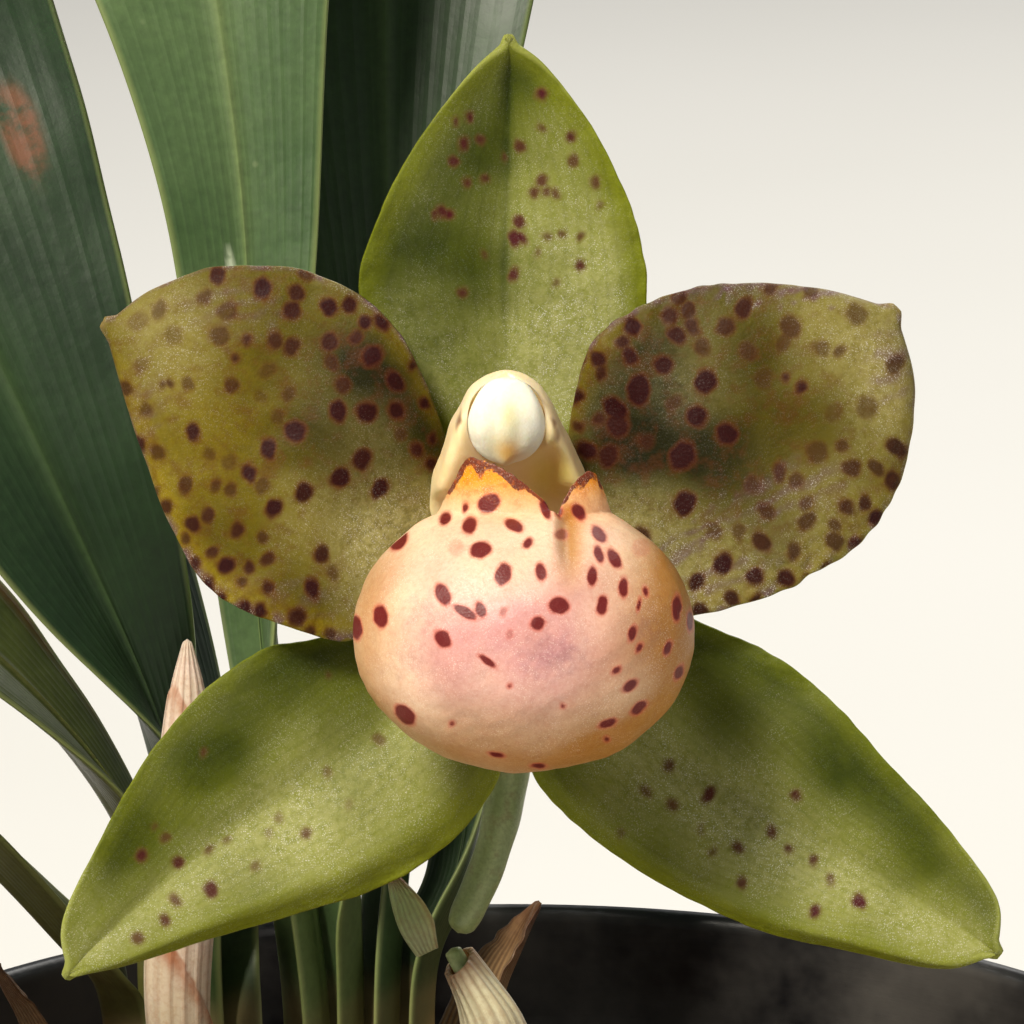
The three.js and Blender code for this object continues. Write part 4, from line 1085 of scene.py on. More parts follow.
def build_piece(name: str, grids: Sequence[Grid], material: bpy.types.Material,
                stands_for: Sequence[str] = ()) -> bpy.types.Object:
    """Puts grids into one smooth mesh that rides on the model's body.

    Args:
        name: Name of the piece.
        grids: Closed skins, in millimetres.
        material: Finish of the whole piece.
        stands_for: CAD nodes that it replaces.

    Returns:
        The new object.
    """
    points = np.concatenate([grid.points.reshape(-1, 3) for grid in grids])
    faces, first = [], 0
    for grid in grids:
        faces.append(outward(points, grid.quads(first)))
        first += grid.points.shape[0] * grid.points.shape[1]
    quads = np.concatenate(faces)
    mesh = bpy.data.meshes.new(name)
    mesh.vertices.add(len(points))
    mesh.vertices.foreach_set("co", (points * MM).astype(np.float32).ravel())
    mesh.loops.add(quads.size)
    mesh.loops.foreach_set("vertex_index", quads.astype(np.int32).ravel())
    mesh.polygons.add(len(quads))
    mesh.polygons.foreach_set("loop_start", np.arange(0, quads.size, 4, dtype=np.int32))
    mesh.polygons.foreach_set("use_smooth", np.ones(len(quads), dtype=bool))
    mesh.update(calc_edges=True)
    for mark in sorted({key for grid in grids for key in grid.marks}):
        values = [np.broadcast_to(g.marks.get(mark, 0.0), g.points.shape[:2]).ravel() for g in grids]
        layer = mesh.attributes.new(mark, "FLOAT", "POINT")
        layer.data.foreach_set("value", np.concatenate(values).astype(np.float32))
    mesh.materials.append(material)
    piece = bpy.data.objects.new(name, mesh)
    bpy.context.scene.collection.objects.link(piece)
    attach(piece, "root")
    if stands_for:
        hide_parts(*stands_for)
    LOG.info("%s: %d points, %d faces", name, len(points), len(quads))
    return piece


# Flower
class Tissue(Enum):
    """The kinds of tepal, whose colour zones differ."""

    DORSAL = "dorsal sepal"
    LATERAL = "lateral sepal"
    PETAL = "petal"


@dataclass
class Tepal:
    """A sepal or petal: a blade between a left and a right edge, cupped or rolled, with zones, veins and spots.

    The edges are (right, up) points as seen from the front; the depths are towards the viewer.
    """

    name: str
    tissue: Tissue
    left: Sequence[tuple[float, float]]
    right: Sequence[tuple[float, float]]
    spots: Array
    foot: float
    rise: float
    cup: float = 0.0
    roll: float = 0.0
    keel: float = 0.0
    fold: float = 0.0
    crisp: float = 0.003
    beak: float = 0.3
    violet: Sequence[tuple[float, float, float, float, float, float]] = ()
    seed: int = 1
    rows: int = 170
    columns: int = 120
    thickness: float = 0.56

    def __post_init__(self) -> None:
        """Draws the two edges as smooth paths."""
        self.left_edge, self.right_edge = Path(self.left), Path(self.right)

    def flat(self, u: Array, v: Array) -> Array:
        """Apparent (right, up) point: from the left edge at v = -1 to the right edge at v = 1, margins wavering.

        Args:
            u: Share of the length from foot to tip.
            v: Place across, -1 to 1.

        Returns:
            Flat points as seen from the front.
        """
        left, right = self.left_edge.at(u), self.right_edge.at(u)
        side = smooth_step(0.02, 0.2, u) * np.sin(np.pi * np.clip(u, 0, 1)) ** 0.3
        place = np.stack([u * 26 + 40 * np.sign(v), u * 0], -1)
        waver = ripple(place, 1.5, self.seed + 7) * self.crisp + ripple(place, 4.5, self.seed + 8) * 0.006
        share = (v * (1 + waver * side * v**2) + 1) / 2
        ends = (self.left_edge.at(np.array([0.75, 1.0])) + self.right_edge.at(np.array([0.75, 1.0]))) / 2
        point = unit(ends[1] - ends[0]) * self.beak
        return left + (right - left) * share[..., None] + point * smooth_step(0.965, 1.0, u)[..., None]

    def depth(self, u: Array, v: Array, flat: Array) -> Array:
        """Distance towards the viewer: the rise, the cup or roll, the keel, a folded strip and soft swellings.

        Args:
            u: Share of the length from foot to tip.
            v: Place across, -1 to 1.
            flat: The flat points there.

        Returns:
            One distance for each point.
        """
        u = np.clip(u, 0, 1)
        broad = np.sin(np.pi * u) ** 0.7
        lift = smooth_step(0, 0.45, u) if self.roll > 0 else u**1.4
        z = self.foot + self.rise * lift + self.cup * broad * v**2
        z = z - self.keel * broad * np.exp(-((v / 0.2) ** 2))
        z = z - self.roll * smooth_step(0.3, 1, u) * (v**4 * broad + 0.5 * smooth_step(0.8, 1, u))
        if self.fold:
            beyond = smooth_step(abs(self.fold), 1.02, v * np.sign(self.fold))
            z = z - 0.9 * beyond * smooth_step(0.1, 0.35, u) * (1 - smooth_step(0.9, 1.0, u))
        soft = smooth_step(0.0, 0.25, u) * (1 - 0.6 * v**2)
        z = z + soft * (0.11 * ripple(flat, 7.0, self.seed) + 0.025 * ripple(flat, 2.4, self.seed + 1))
        frill = np.abs(v) ** 5 * broad * smooth_step(0.1, 0.4, u)
        return z + frill * (0.1 * ripple(flat, 3.4, self.seed + 2)
                            + 8 * self.crisp * ripple(flat, 0.9, self.seed + 3))

    def surface(self, u: Array, v: Array) -> Array:
        """Point of the middle surface, drawn in towards the line of sight as it comes forward.

        Args:
            u: Share of the length from foot to tip.
            v: Place across, -1 to 1.

        Returns:
            Points in the object's frame.
        """
        flat = self.flat(u, v)
        z = self.depth(u, v, flat)
        return in_flower(np.concatenate([flat * (1 - z / VIEW_DISTANCE)[..., None], z[..., None]], -1))

    def zones(self, flat: Array, u: Array, v: Array, half: Array) -> dict[str, Array]:
        """Marks of the colour zones, each 0 to 1: tone, which is partly painted light and shade, silver, which is
        partly a painted sheen, gold and violet.

        Args:
            flat: Flat points of the skin.
            u: Share of the length.
            v: Place across.
            half: Half width of the tepal at u.

        Returns:
            The four marks by name.
        """
        x, y = flat[..., 0], flat[..., 1]
        cloud = ripple(flat, 7.0, self.seed + 4)
        rim = (1 - np.abs(v)) * half
        if self.tissue is Tissue.DORSAL:
            # Painted light on the right half of the cupped sepal and painted shade in the keel crease, lighter
            # towards the foot; the silver on the lit right half is a painted sheen
            keel = hump(x + 0.02 * (21 - y), -0.1, 0.35) * smooth_step(3, 14, y)
            shade = (0.1 + 0.62 * smooth_step(-3.5, 3.0, x + 0.12 * (12 - y)) + 0.25 * smooth_step(12, 4, y)
                     - 0.25 * keel)
            silver = 0.1 + 0.8 * smooth_step(-2.0, 2.5, x) * smooth_step(20, 8, y) + 0.45 * hump(y, 4, 4)
            silver = silver * (1 - 0.5 * keel) * smooth_step(0.1, 1.6, rim)
            gold = 0.45 * smooth_step(1.6, 0.2, rim)
            violet = np.zeros_like(x)
        elif self.tissue is Tissue.LATERAL:
            # Painted shadow of the pouch over the upper half and painted shade at the foot beside the pouch;
            # lighter on the folded strip and towards the tip; the silver down the middle is a painted sheen
            strip = smooth_step(abs(self.fold) - 0.02, abs(self.fold) + 0.12, v * np.sign(self.fold))
            upper = smooth_step(0.1, -0.9, v) if self.fold > 0 else smooth_step(-0.1, 0.9, v)
            shade = (0.66 - 0.56 * upper + 0.25 * strip + 0.15 * smooth_step(0.4, 0.9, u)
                     - 0.3 * smooth_step(0.3, 0.1, u))
            silver = 0.9 * hump(v, 0.25 * np.sign(self.fold), 0.5) * hump(u, 0.55, 0.38) + 0.4 * hump(u, 0.92, 0.1)
            gold = 0.6 * strip * smooth_step(0.1, 0.4, u) + 0.3 * smooth_step(1.0, 0.2, rim)
            violet = np.zeros_like(x)
        else:
            # Darker over the upper middle and lighter by the column; on the right petal the lit fold at the tip is
            # painted light, and its silver there a painted sheen
            inner = smooth_step(9.5, 2.5, np.abs(x)) * smooth_step(3.5, -3.5, y)
            rightward = bool(self.left[0][0] > 0)
            shade = 0.62 - 0.62 * hump(np.abs(x), 6.5, 4.8) * hump(y, 4.6, 4.2) + 0.35 * inner
            silver = 0.04 + 1.1 * inner
            if rightward:
                silver = silver + 0.75 * hump(x, 16.5, 2.6) * hump(y, 6.5, 3.5) + 0.4 * smooth_step(2.5, -3.5, y)
                shade = shade - 0.12 + 0.3 * hump(x, 16.5, 2.6) * hump(y, 6.5, 3.5)
            else:
                silver = (silver + 0.4 * hump(x, -15.5, 2.4) * hump(y, 8, 2.6)
                          + 0.75 * hump(x, -5.6, 2.4) * hump(y, -1.4, 2.4))
            gold = 0.6 * smooth_step(2.0, 0.1, rim) * smooth_step(3.5, 9, np.abs(x)) * (0.4 if rightward else 1.0)
            gold = (gold * smooth_step(10, 4, y)
                    + (0.1 if rightward else 0.35) * hump(np.abs(x), 14, 4) * hump(y, 3, 6))
            gold = gold + 0.45 * smooth_step(1.8, 0.2, rim) * smooth_step(8, 3, np.abs(x)) * smooth_step(2, 5, y)
            beads = smooth_step(-0.2, 0.5, ripple(flat, 1.6, self.seed + 15))
            violet = (0.85 * smooth_step(0.4, 0.05, rim) * smooth_step(4, 8, y + 0.25 * np.abs(x))
                      * (0.4 + 0.6 * beads))
            violet = violet + 0.9 * smooth_step(0.7, 0.1, rim) * smooth_step(1.5, -1.5, y) * beads
            if len(self.violet):
                streak = 0.55 + 0.45 * np.sin((flat @ np.array([-0.42, 0.91])) * 7
                                              + 1.5 * ripple(flat, 3, self.seed + 16))
                violet = np.maximum(violet,
                                    ink(flat, np.asarray(self.violet), 0.7, self.seed + 20, 0.3) * streak * 1.3)
        return {"shade": np.clip(shade + 0.12 * cloud, 0, 1), "silver": np.clip(silver + 0.12 * cloud, 0, 1),
                "gold": np.clip(gold, 0, 1), "violet": np.clip(violet, 0, 1)}

    def skin(self) -> Grid:
        """The closed blade with all its marks; the spots show through to its rear more faintly.

        Returns:
            The closed grid.
        """
        grid = lens(self.surface, self.rows, self.columns, self._thickness, facing=TOWARDS_VIEWER)
        u, v, face = grid.marks["along"], grid.marks["across"], grid.marks["face"]
        flat = self.flat(u, v)
        half = 0.5 * np.linalg.norm(self.right_edge.at(u) - self.left_edge.at(u), axis=-1)
        front = 0.5 + 0.5 * face
        grid.marks |= self.zones(flat, u, v, half)
        grid.marks["edge"] = (1 - np.abs(v)) * half + 0.4 * smooth_step(0.9, 0.5, u)
        level, power = spot_fields(flat, self.spots, 0.3, self.seed + 11, 0.035)
        grid.marks |= {"ink": level, "power": power * (0.4 + 0.6 * front)}
        veins = 5 if self.tissue is Tissue.DORSAL else 6
        line = np.cos(np.pi * 2 * veins * v * (0.92 + 0.08 * ripple(flat, 9.0, self.seed + 5))) ** 2
        grid.marks["vein"] = line**6 * smooth_step(0.03, 0.2, u) * smooth_step(1.0, 0.7, u) * (1 - 0.75 * front)
        return grid

    def _thickness(self, u: Array, v: Array) -> Array:
        """Full thickness: most at the foot and along the middle, least at the margins."""
        return self.thickness * (1.15 - 0.35 * v**2 - 0.15 * np.clip(u, 0, 1))

    def build(self, material: bpy.types.Material) -> None:
        """Builds the tepal in place of its CAD node."""
        build_piece(f"{self.name}_blade", [self.skin()], material, [self.name])


@dataclass
class Blade:
    """Middle surface of a folded blade along a path, as a leaf, a sheath or a bract has it.

    The point lies beside the path by the half width times v and the cosine of the fold, and towards the lit side
    by the half width times the bend of v and the sine of the fold. The lit side turns from its first direction to
    its second over 0.3 of the length.
    """

    path: Sequence[Sequence[float]]
    lit: tuple[Sequence[float], Sequence[float]]
    width: Stations
    fold: Stations
    folded_to: float = 0.22
    taper: float = 1.0
    seed: int = 1
    waver: float = 0.0

    def frame(self, u: Array) -> tuple[Array, Array, Array]:
        """Path point, side and lit direction at each u.

        Args:
            u: Share of the length from foot to tip.

        Returns:
            Points, sides and lit directions.
        """
        path = Path(self.path)
        middle, tangent = path.at(u), path.heading(u)
        turn = smooth_step(self.folded_to, self.folded_to + 0.3, u)[..., None]
        first, second = (unit(np.asarray(d, float)) for d in self.lit)
        face = first + (second - first) * turn
        face = unit(face - tangent * (face * tangent).sum(-1, keepdims=True))
        return middle, np.cross(tangent, face), face

    def surface(self, u: Array, v: Array) -> Array:
        """Point of the middle surface at (u, v).

        Args:
            u: Share of the length from foot to tip.
            v: Place across, -1 to 1.

        Returns:
            Points in the object's frame.
        """
        middle, side, face = self.frame(u)
        half = station_value(self.width, np.clip(u, 0, 1) ** self.taper)
        slope = station_value(self.fold, u)
        bend = np.sqrt(v * v + 0.01) - 0.1
        lift = half * bend * np.sin(slope)
        if self.waver:
            place = np.stack([u * 60, v * half * 0.7], -1)
            lift = lift + self.waver * smooth_step(0.3, 0.7, u) * ripple(place, 22, self.seed) * (0.3 + v**2)
            lift = lift + 0.25 * self.waver * smooth_step(0.3, 0.6, u) * ripple(place, 6, self.seed + 1) * v**2
        return middle + side * (half * v * np.cos(slope))[..., None] + face * lift[..., None]


@dataclass
class Lip:
    """Pouch-shaped lip: a globe with its mouth at the top, two upright flaps in front of it and a hollow inside.

    A point of the globe lies at the half sizes times sin and cos of the polar angle, which runs to 2.6 at the
    mouth; above it the flaps rise by an edge height that depends on the angle from the notch between them.
    """

    half: tuple[float, float, float] = (7.5, 6.1, 6.2)
    middle: tuple[float, float, float] = (0.5, -5.3, 7.0)
    neck: float = 2.6
    lean: float = 1.3
    mouth_turn: float = 0.38
    wall: float = 0.62
    rim: float = 0.36
    left_flap: Stations = ((0, -0.7), (0.04, -0.3), (0.13, 0.4), (0.4, 1.3), (0.69, 1.95), (0.95, 2.25),
                           (1.12, 2.3), (1.25, 1.85), (1.42, 1.2), (1.75, 0.5), (2.4, -0.1), (3.15, -0.5))
    right_flap: Stations = ((0, -0.7), (0.04, -0.25), (0.12, 0.5), (0.3, 1.35), (0.5, 1.75), (0.66, 1.65),
                            (0.85, 1.1), (1.25, 0.3), (2.2, -0.1), (3.15, -0.5))

    def from_notch(self, angle: Array) -> Array:
        """Angle round the mouth from the notch between the flaps, from minus to plus half a turn."""
        turned = angle - np.pi / 2 + self.mouth_turn
        return np.arctan2(np.sin(turned), np.cos(turned))

    def point(self, height: Array, angle: Array, shrink: Array) -> Array:
        """Point of the flower's frame at a share of the height and an angle, inside the outer skin by shrink.

        Args:
            height: Share of the way up: 0.8 is the mouth, 1 the flaps' edge.
            angle: Angle round the pouch.
            shrink: Depth under the outer skin.

        Returns:
            Points in the flower's frame.
        """
        globe = np.minimum(height, 0.8) / 0.8
        flap = np.maximum(height - 0.8, 0) / 0.2
        polar = globe * self.neck
        reach = np.sin(polar) * (1 - 0.06 * flap)
        lean = self.lean * np.maximum(-np.cos(polar), 0) ** 2
        turned = self.from_notch(angle)
        edge = np.where(turned > 0, station_value(self.left_flap, np.abs(turned)),
                        station_value(self.right_flap, np.abs(turned)))
        edge = edge + 0.025 * np.sin(turned * 43 + 2 * np.cos(turned * 7)) * smooth_step(0.1, 0.4, edge)
        x, y, z = self.half
        flat = np.stack([
            (x - shrink) * reach * np.cos(angle),
            -(y - shrink) * np.cos(polar) + flap * edge,
            (z - shrink) * reach * np.sin(angle) - lean,
        ], -1)
        place = flat + np.asarray(self.middle)
        across, up = place[..., 0] - 1.95, place[..., 1]
        ahead = smooth_step(0, 2, place[..., 2] - self.middle[2])
        valley = -0.34 * hump(across, 0.55, 0.5) + 0.1 * hump(across, -0.25, 0.35)
        fade = smooth_step(-3.6, -0.9, up) * smooth_step(0.9, 0.1, up)
        swell = valley * fade * ahead + 0.05 * ripple(place, 4.0, 3) + 0.012 * ripple(place, 1.1, 4)
        return place + unit(flat) * swell[..., None]

    def skin(self) -> Grid:
        """Outer wall, rounded rim and inner wall as one closed grid with the marks of the colour zones.

        Returns:
            The closed grid.
        """
        outer = np.linspace(0, 1, 190)
        outer = 0.55 * outer + 0.45 * outer**1.6
        turn = np.linspace(0, np.pi, 9)[1:-1]
        inner = np.linspace(1, 0, 70)
        height = np.concatenate([outer, np.ones(len(turn)), inner])
        shrink = np.concatenate([outer * 0, self.rim * (1 - np.cos(turn)) / 2,
                                 self.rim + (self.wall - self.rim) * smooth_step(1, 0.75, inner)])
        raised = np.concatenate([outer * 0, self.rim * np.sin(turn) / 2, inner * 0])
        inside = np.concatenate([outer * 0, (1 - np.cos(turn)) / 2, inner * 0 + 1])
        t = full_turn(300)
        h, a = np.meshgrid(height, t + 0.4 * np.cos(t), indexing="ij")
        local = self.point(h, a, shrink[:, None] * np.ones_like(h))
        local[..., 1] += raised[:, None]
        marks = self.zones(local, h, a, inside[:, None] * np.ones_like(h))
        return Grid(in_flower(local), True, marks)

    def zones(self, local: Array, height: Array, angle: Array, inside: Array) -> dict[str, Array]:
        """Marks of the pouch: rose middle, gold sides and bottom, partly painted shade, orange flaps, violet
        clouds, spots and dashes.

        Args:
            local: Points in the flower's frame.
            height: Share of the way up.
            angle: Angle round the pouch.
            inside: 1 on the inner wall, 0 outside.

        Returns:
            The marks by name.
        """
        flat = local[..., :2] / (1 - local[..., 2:] / VIEW_DISTANCE)
        x, y, z = flat[..., 0], flat[..., 1], local[..., 2]
        ahead = smooth_step(-0.6, 0.6, z - self.middle[2] + 1.2 * smooth_step(0.8, 1.0, height))
        cloud = ripple(local, 5, 31)
        outside = 1 - inside
        rose = (1.05 * np.exp(-(((x - 0.7) / 5.6) ** 2) - ((y + 5.8) / 4.4) ** 2)
                + 0.2 * hump(x, -3.5, 2) * hump(y, -6, 3))
        # Gold on both sides is the pouch's colour; on the bottom it is gold-brown with painted shade; on the lower
        # right and in the crease below the notch it is painted shade
        gold = 0.75 * smooth_step(4.2, 7.6, np.abs(x - 0.4)) + 0.8 * smooth_step(-7.6, -11.2, y)
        gold = gold + 0.45 * smooth_step(2.5, 6.0, x - 0.3 * y - 1.5)
        gold = gold + 0.9 * hump(x, 2.6, 0.6) * smooth_step(-4.2, -1.6, y) * smooth_step(0.8, 0, y)
        orange = smooth_step(-0.7, 1.0, y + 0.25 * cloud) * (0.55 + 0.45 * smooth_step(0.4, 1.6, y))
        violet = ink(flat, VIOLET_CLOUDS, 0.7, 51, 0.3) * ahead
        level, power = spot_fields(flat, LIP_SPOTS, 0.22, 61, 0.02)
        back_level, back_power = spot_fields(flat, round_spots(BACK_SPOTS, 6), 0.22, 62, 0.08)
        spots = np.where(ahead > 0.5, level * smooth_step(0.4, 0.7, ahead),
                         back_level * smooth_step(0.6, 0.3, ahead))
        power = np.where(ahead > 0.5, power, back_power)
        turned = self.from_notch(angle)
        run = np.sin(turned * 15 + 2.5 * ripple(local, 3, 9))
        dash = (smooth_step(0.95 - 0.05 * np.clip(run, 0, 1), 0.99, height)
                * (0.6 + 0.4 * smooth_step(-0.6, 0.1, run)))
        dash = np.maximum(dash, 0.55 * smooth_step(0.93, 1.0, height) * hump(np.abs(turned - 1.2), 0, 0.25))
        return {"rose": np.clip(rose + 0.1 * cloud, 0, 1), "gold": np.clip(gold + 0.1 * cloud, 0, 1),
                "orange": np.clip(orange, 0, 1), "violet": violet, "ink": spots * outside,
                "power": power, "inside": inside,
                "dash": dash * smooth_step(0.2, 0.5, y) * smooth_step(-1, 1, z - self.middle[2])}

    def build(self) -> None:
        """Builds the pouch and the callus on its inner wall, in place of their CAD nodes."""
        build_piece("lip_pouch", [self.skin()], LipFinish().build(), ["lip"])
        path = Path([in_flower(np.array(p))
                     for p in ((0.4, -7.6, 3.25), (0.4, -5.6, 2.9), (0.4, -3.6, 2.9), (0.4, -2.2, 3.4))])
        bead = tube(path, lambda t: station_value(((0, 0.25), (0.3, 0.8), (0.7, 0.9), (1, 0.3)), t), 60, 36,
                    (0, 1, 0), 1.6)
        ridge = np.abs(np.cos(bead.marks["round"] * 2.5)) ** 3
        bead.marks["tint"] = ridge
        build_piece("lip_callus", [bead],
                    FleshFinish("callus_flesh", (232, 176, 110), (250, 216, 150), (196, 120, 60)).build(),
                    ["callus"])


@dataclass
class Column:
    """Column: a stalk that widens into a hood with side arms, hollowed for the anther cap and below it."""

    path: Sequence[Sequence[float]] = ((0.3, -3.3, 0.45), (0.1, -1.1, 0.3), (-0.05, 0.7, 0.9), (-0.15, 2.3, 2.1),
                                       (-0.25, 4.1, 3.3), (-0.25, 6.25, 4.5))
    half_width: Stations = ((0, 0.5), (0.1, 1.3), (0.2, 2.9), (0.3, 3.6), (0.42, 3.55), (0.54, 3.35), (0.67, 2.9),
                            (0.8, 2.4), (0.93, 1.6), (1, 0.5))
    half_depth: Stations = ((0, 0.3), (0.2, 0.4), (0.4, 0.65), (0.6, 1.4), (0.8, 1.3), (0.95, 0.7), (1, 0.3))
    cap_middle: tuple[float, float, float] = (-0.25, 4.05, 4.75)
    cap_half: tuple[float, float, float] = (1.75, 2.0, 0.95)
    cap_lean: float = 0.33
    cap_room: float = 0.98
    front_fill: float = 0.92

    def _cap_place(self, local: Array) -> Array:
        """Place within the anther cap, whose surface is at 1: turned level, then divided by the half sizes.

        Args:
            local: Points in the flower's frame.

        Returns:
            The same points in the cap's own measure.
        """
        c, s = np.cos(self.cap_lean), np.sin(self.cap_lean)
        turn = np.array([[1, 0, 0], [0, c, -s], [0, s, c]])
        return ((local - np.asarray(self.cap_middle)) @ turn) / np.asarray(self.cap_half)

    def body(self) -> Grid:
        """Rings along the path: across by half width cos a, forward by half depth times the arm's rise.

        Returns:
            The closed grid.
        """
        share = np.linspace(0, 1, 150)
        t, a = np.meshgrid(share, full_turn(120), indexing="ij")
        path = Path(self.path)
        front = unit(np.cross(np.array([1.0, 0, 0]), path.heading(t)))
        c, s = np.cos(a), np.sin(a)
        arm = 0.5 + 0.9 * smooth_step(0.3, 0.6, t)
        up = np.maximum(s, 0)
        forward = np.where(s > 0, arm * c * c * up**0.35 + self.front_fill * up, s)
        end = rounded_ends(t, 0.03)
        half, depth = station_value(self.half_width, t) * end, station_value(self.half_depth, t) * end
        local = path.at(t) + front * (depth * forward)[..., None]
        local[..., 0] += half * c
        facing = smooth_step(0.0, 0.35, s) * smooth_step(0.3, 0.45, t)
        dent = np.exp(-(((local[..., 0] - 1.65) / 1.1) ** 2) - ((local[..., 1] - 1.6) / 1.2) ** 2)
        groove = hump(np.linalg.norm(self._cap_place(local) * [1, 1, 0.5], axis=-1), 1.2, 0.12)
        local = local - front * (facing * (0.85 * dent - 0.1 * groove))[..., None]
        reach = np.linalg.norm(self._cap_place(local), axis=-1)
        deeper = np.clip(1.0 / np.maximum(reach, 0.2), 1, 3)
        away = (local - np.asarray(self.cap_middle)) * (deeper - 1)[..., None]
        local = local + away * smooth_step(0.3, 0.5, t)[..., None]
        local += (unit(local - path.at(t))
                  * (0.035 * ripple(local, 2.4, 5) + 0.005 * ripple(local, 0.6, 6))[..., None])
        flat = local[..., :2]
        hollow = (np.exp(-(((flat[..., 0] - 1.7) / 1.15) ** 2) - ((flat[..., 1] - 1.6) / 1.2) ** 2)
                  * smooth_step(0, 0.4, s))
        spots = ink(flat, np.array(COLUMN_DASHES), 0.12, 15, 0.05) * smooth_step(-0.1, 0.2, s)
        tint = 0.35 + 0.6 * smooth_step(2.5, 5.5, flat[..., 1]) * smooth_step(0, 0.5, np.abs(c))
        return Grid(in_flower(local), True, {"tint": tint, "deep": np.clip(hollow * 1.1, 0, 1), "ink": spots})

    def cap(self) -> Grid:
        """Anther cap: an ellipsoid with a middle ridge, a flat brow and a short beak over its lower edge.

        Returns:
            The closed grid.
        """
        p, a = np.meshgrid(np.linspace(0, np.pi, 90), full_turn(110), indexing="ij")
        girth = np.sin(p) ** 0.86
        broad = 0.9 + 0.14 * smooth_step(0.7, -0.35, np.cos(p))
        shape = np.stack([girth * broad * np.cos(a), np.cos(p), girth * np.sin(a)], -1)
        x, y, z = shape[..., 0], shape[..., 1], shape[..., 2]
        ahead = smooth_step(0, 0.6, z)
        swell = (0.05 * hump(x, 0, 0.16) * smooth_step(0.9, -0.2, y)
                 - 0.07 * hump(np.abs(x), 0.36, 0.16) * hump(y, -0.15, 0.5))
        swell = swell + 0.1 * hump(x, 0, 0.2) * hump(y, -0.78, 0.2) + 0.03 * ripple(shape, 1.2, 8)
        shape = shape * (1 + ahead * swell)[..., None] * self.cap_room
        c, s = np.cos(self.cap_lean), np.sin(self.cap_lean)
        local = shape * np.asarray(self.cap_half) @ np.array([[1, 0, 0], [0, c, s], [0, -s, c]])
        tip = 0.8 * hump(x, 0.04, 0.3) * hump(y, -0.6, 0.26) * ahead
        patch = (0.6 * hump(x, 0.06, 0.22) * hump(y, 0.25, 0.32)
                 + 0.5 * hump(x, -0.1, 0.4) * hump(y, -0.55, 0.4)) * ahead
        marks = {"tint": np.clip(patch, 0, 1), "deep": np.clip(tip, 0, 1)}
        return Grid(in_flower(local + np.asarray(self.cap_middle)), True, marks)

    def build(self) -> None:
        """Builds the column and its cap in place of their CAD nodes."""
        flesh = FleshFinish("column_flesh", (244, 214, 158), (250, 222, 182), (232, 210, 112), 0.35, 0.5, 0.06)
        build_piece("column_body", [self.body()], flesh.build(), ["column"])
        cream = FleshFinish("anther_cream", (255, 250, 230), (236, 226, 150), (240, 178, 66), 0.5, 0.4, 0.08)
        build_piece("anther_cap_shell", [self.cap()], cream.build(), ["anther_cap"])


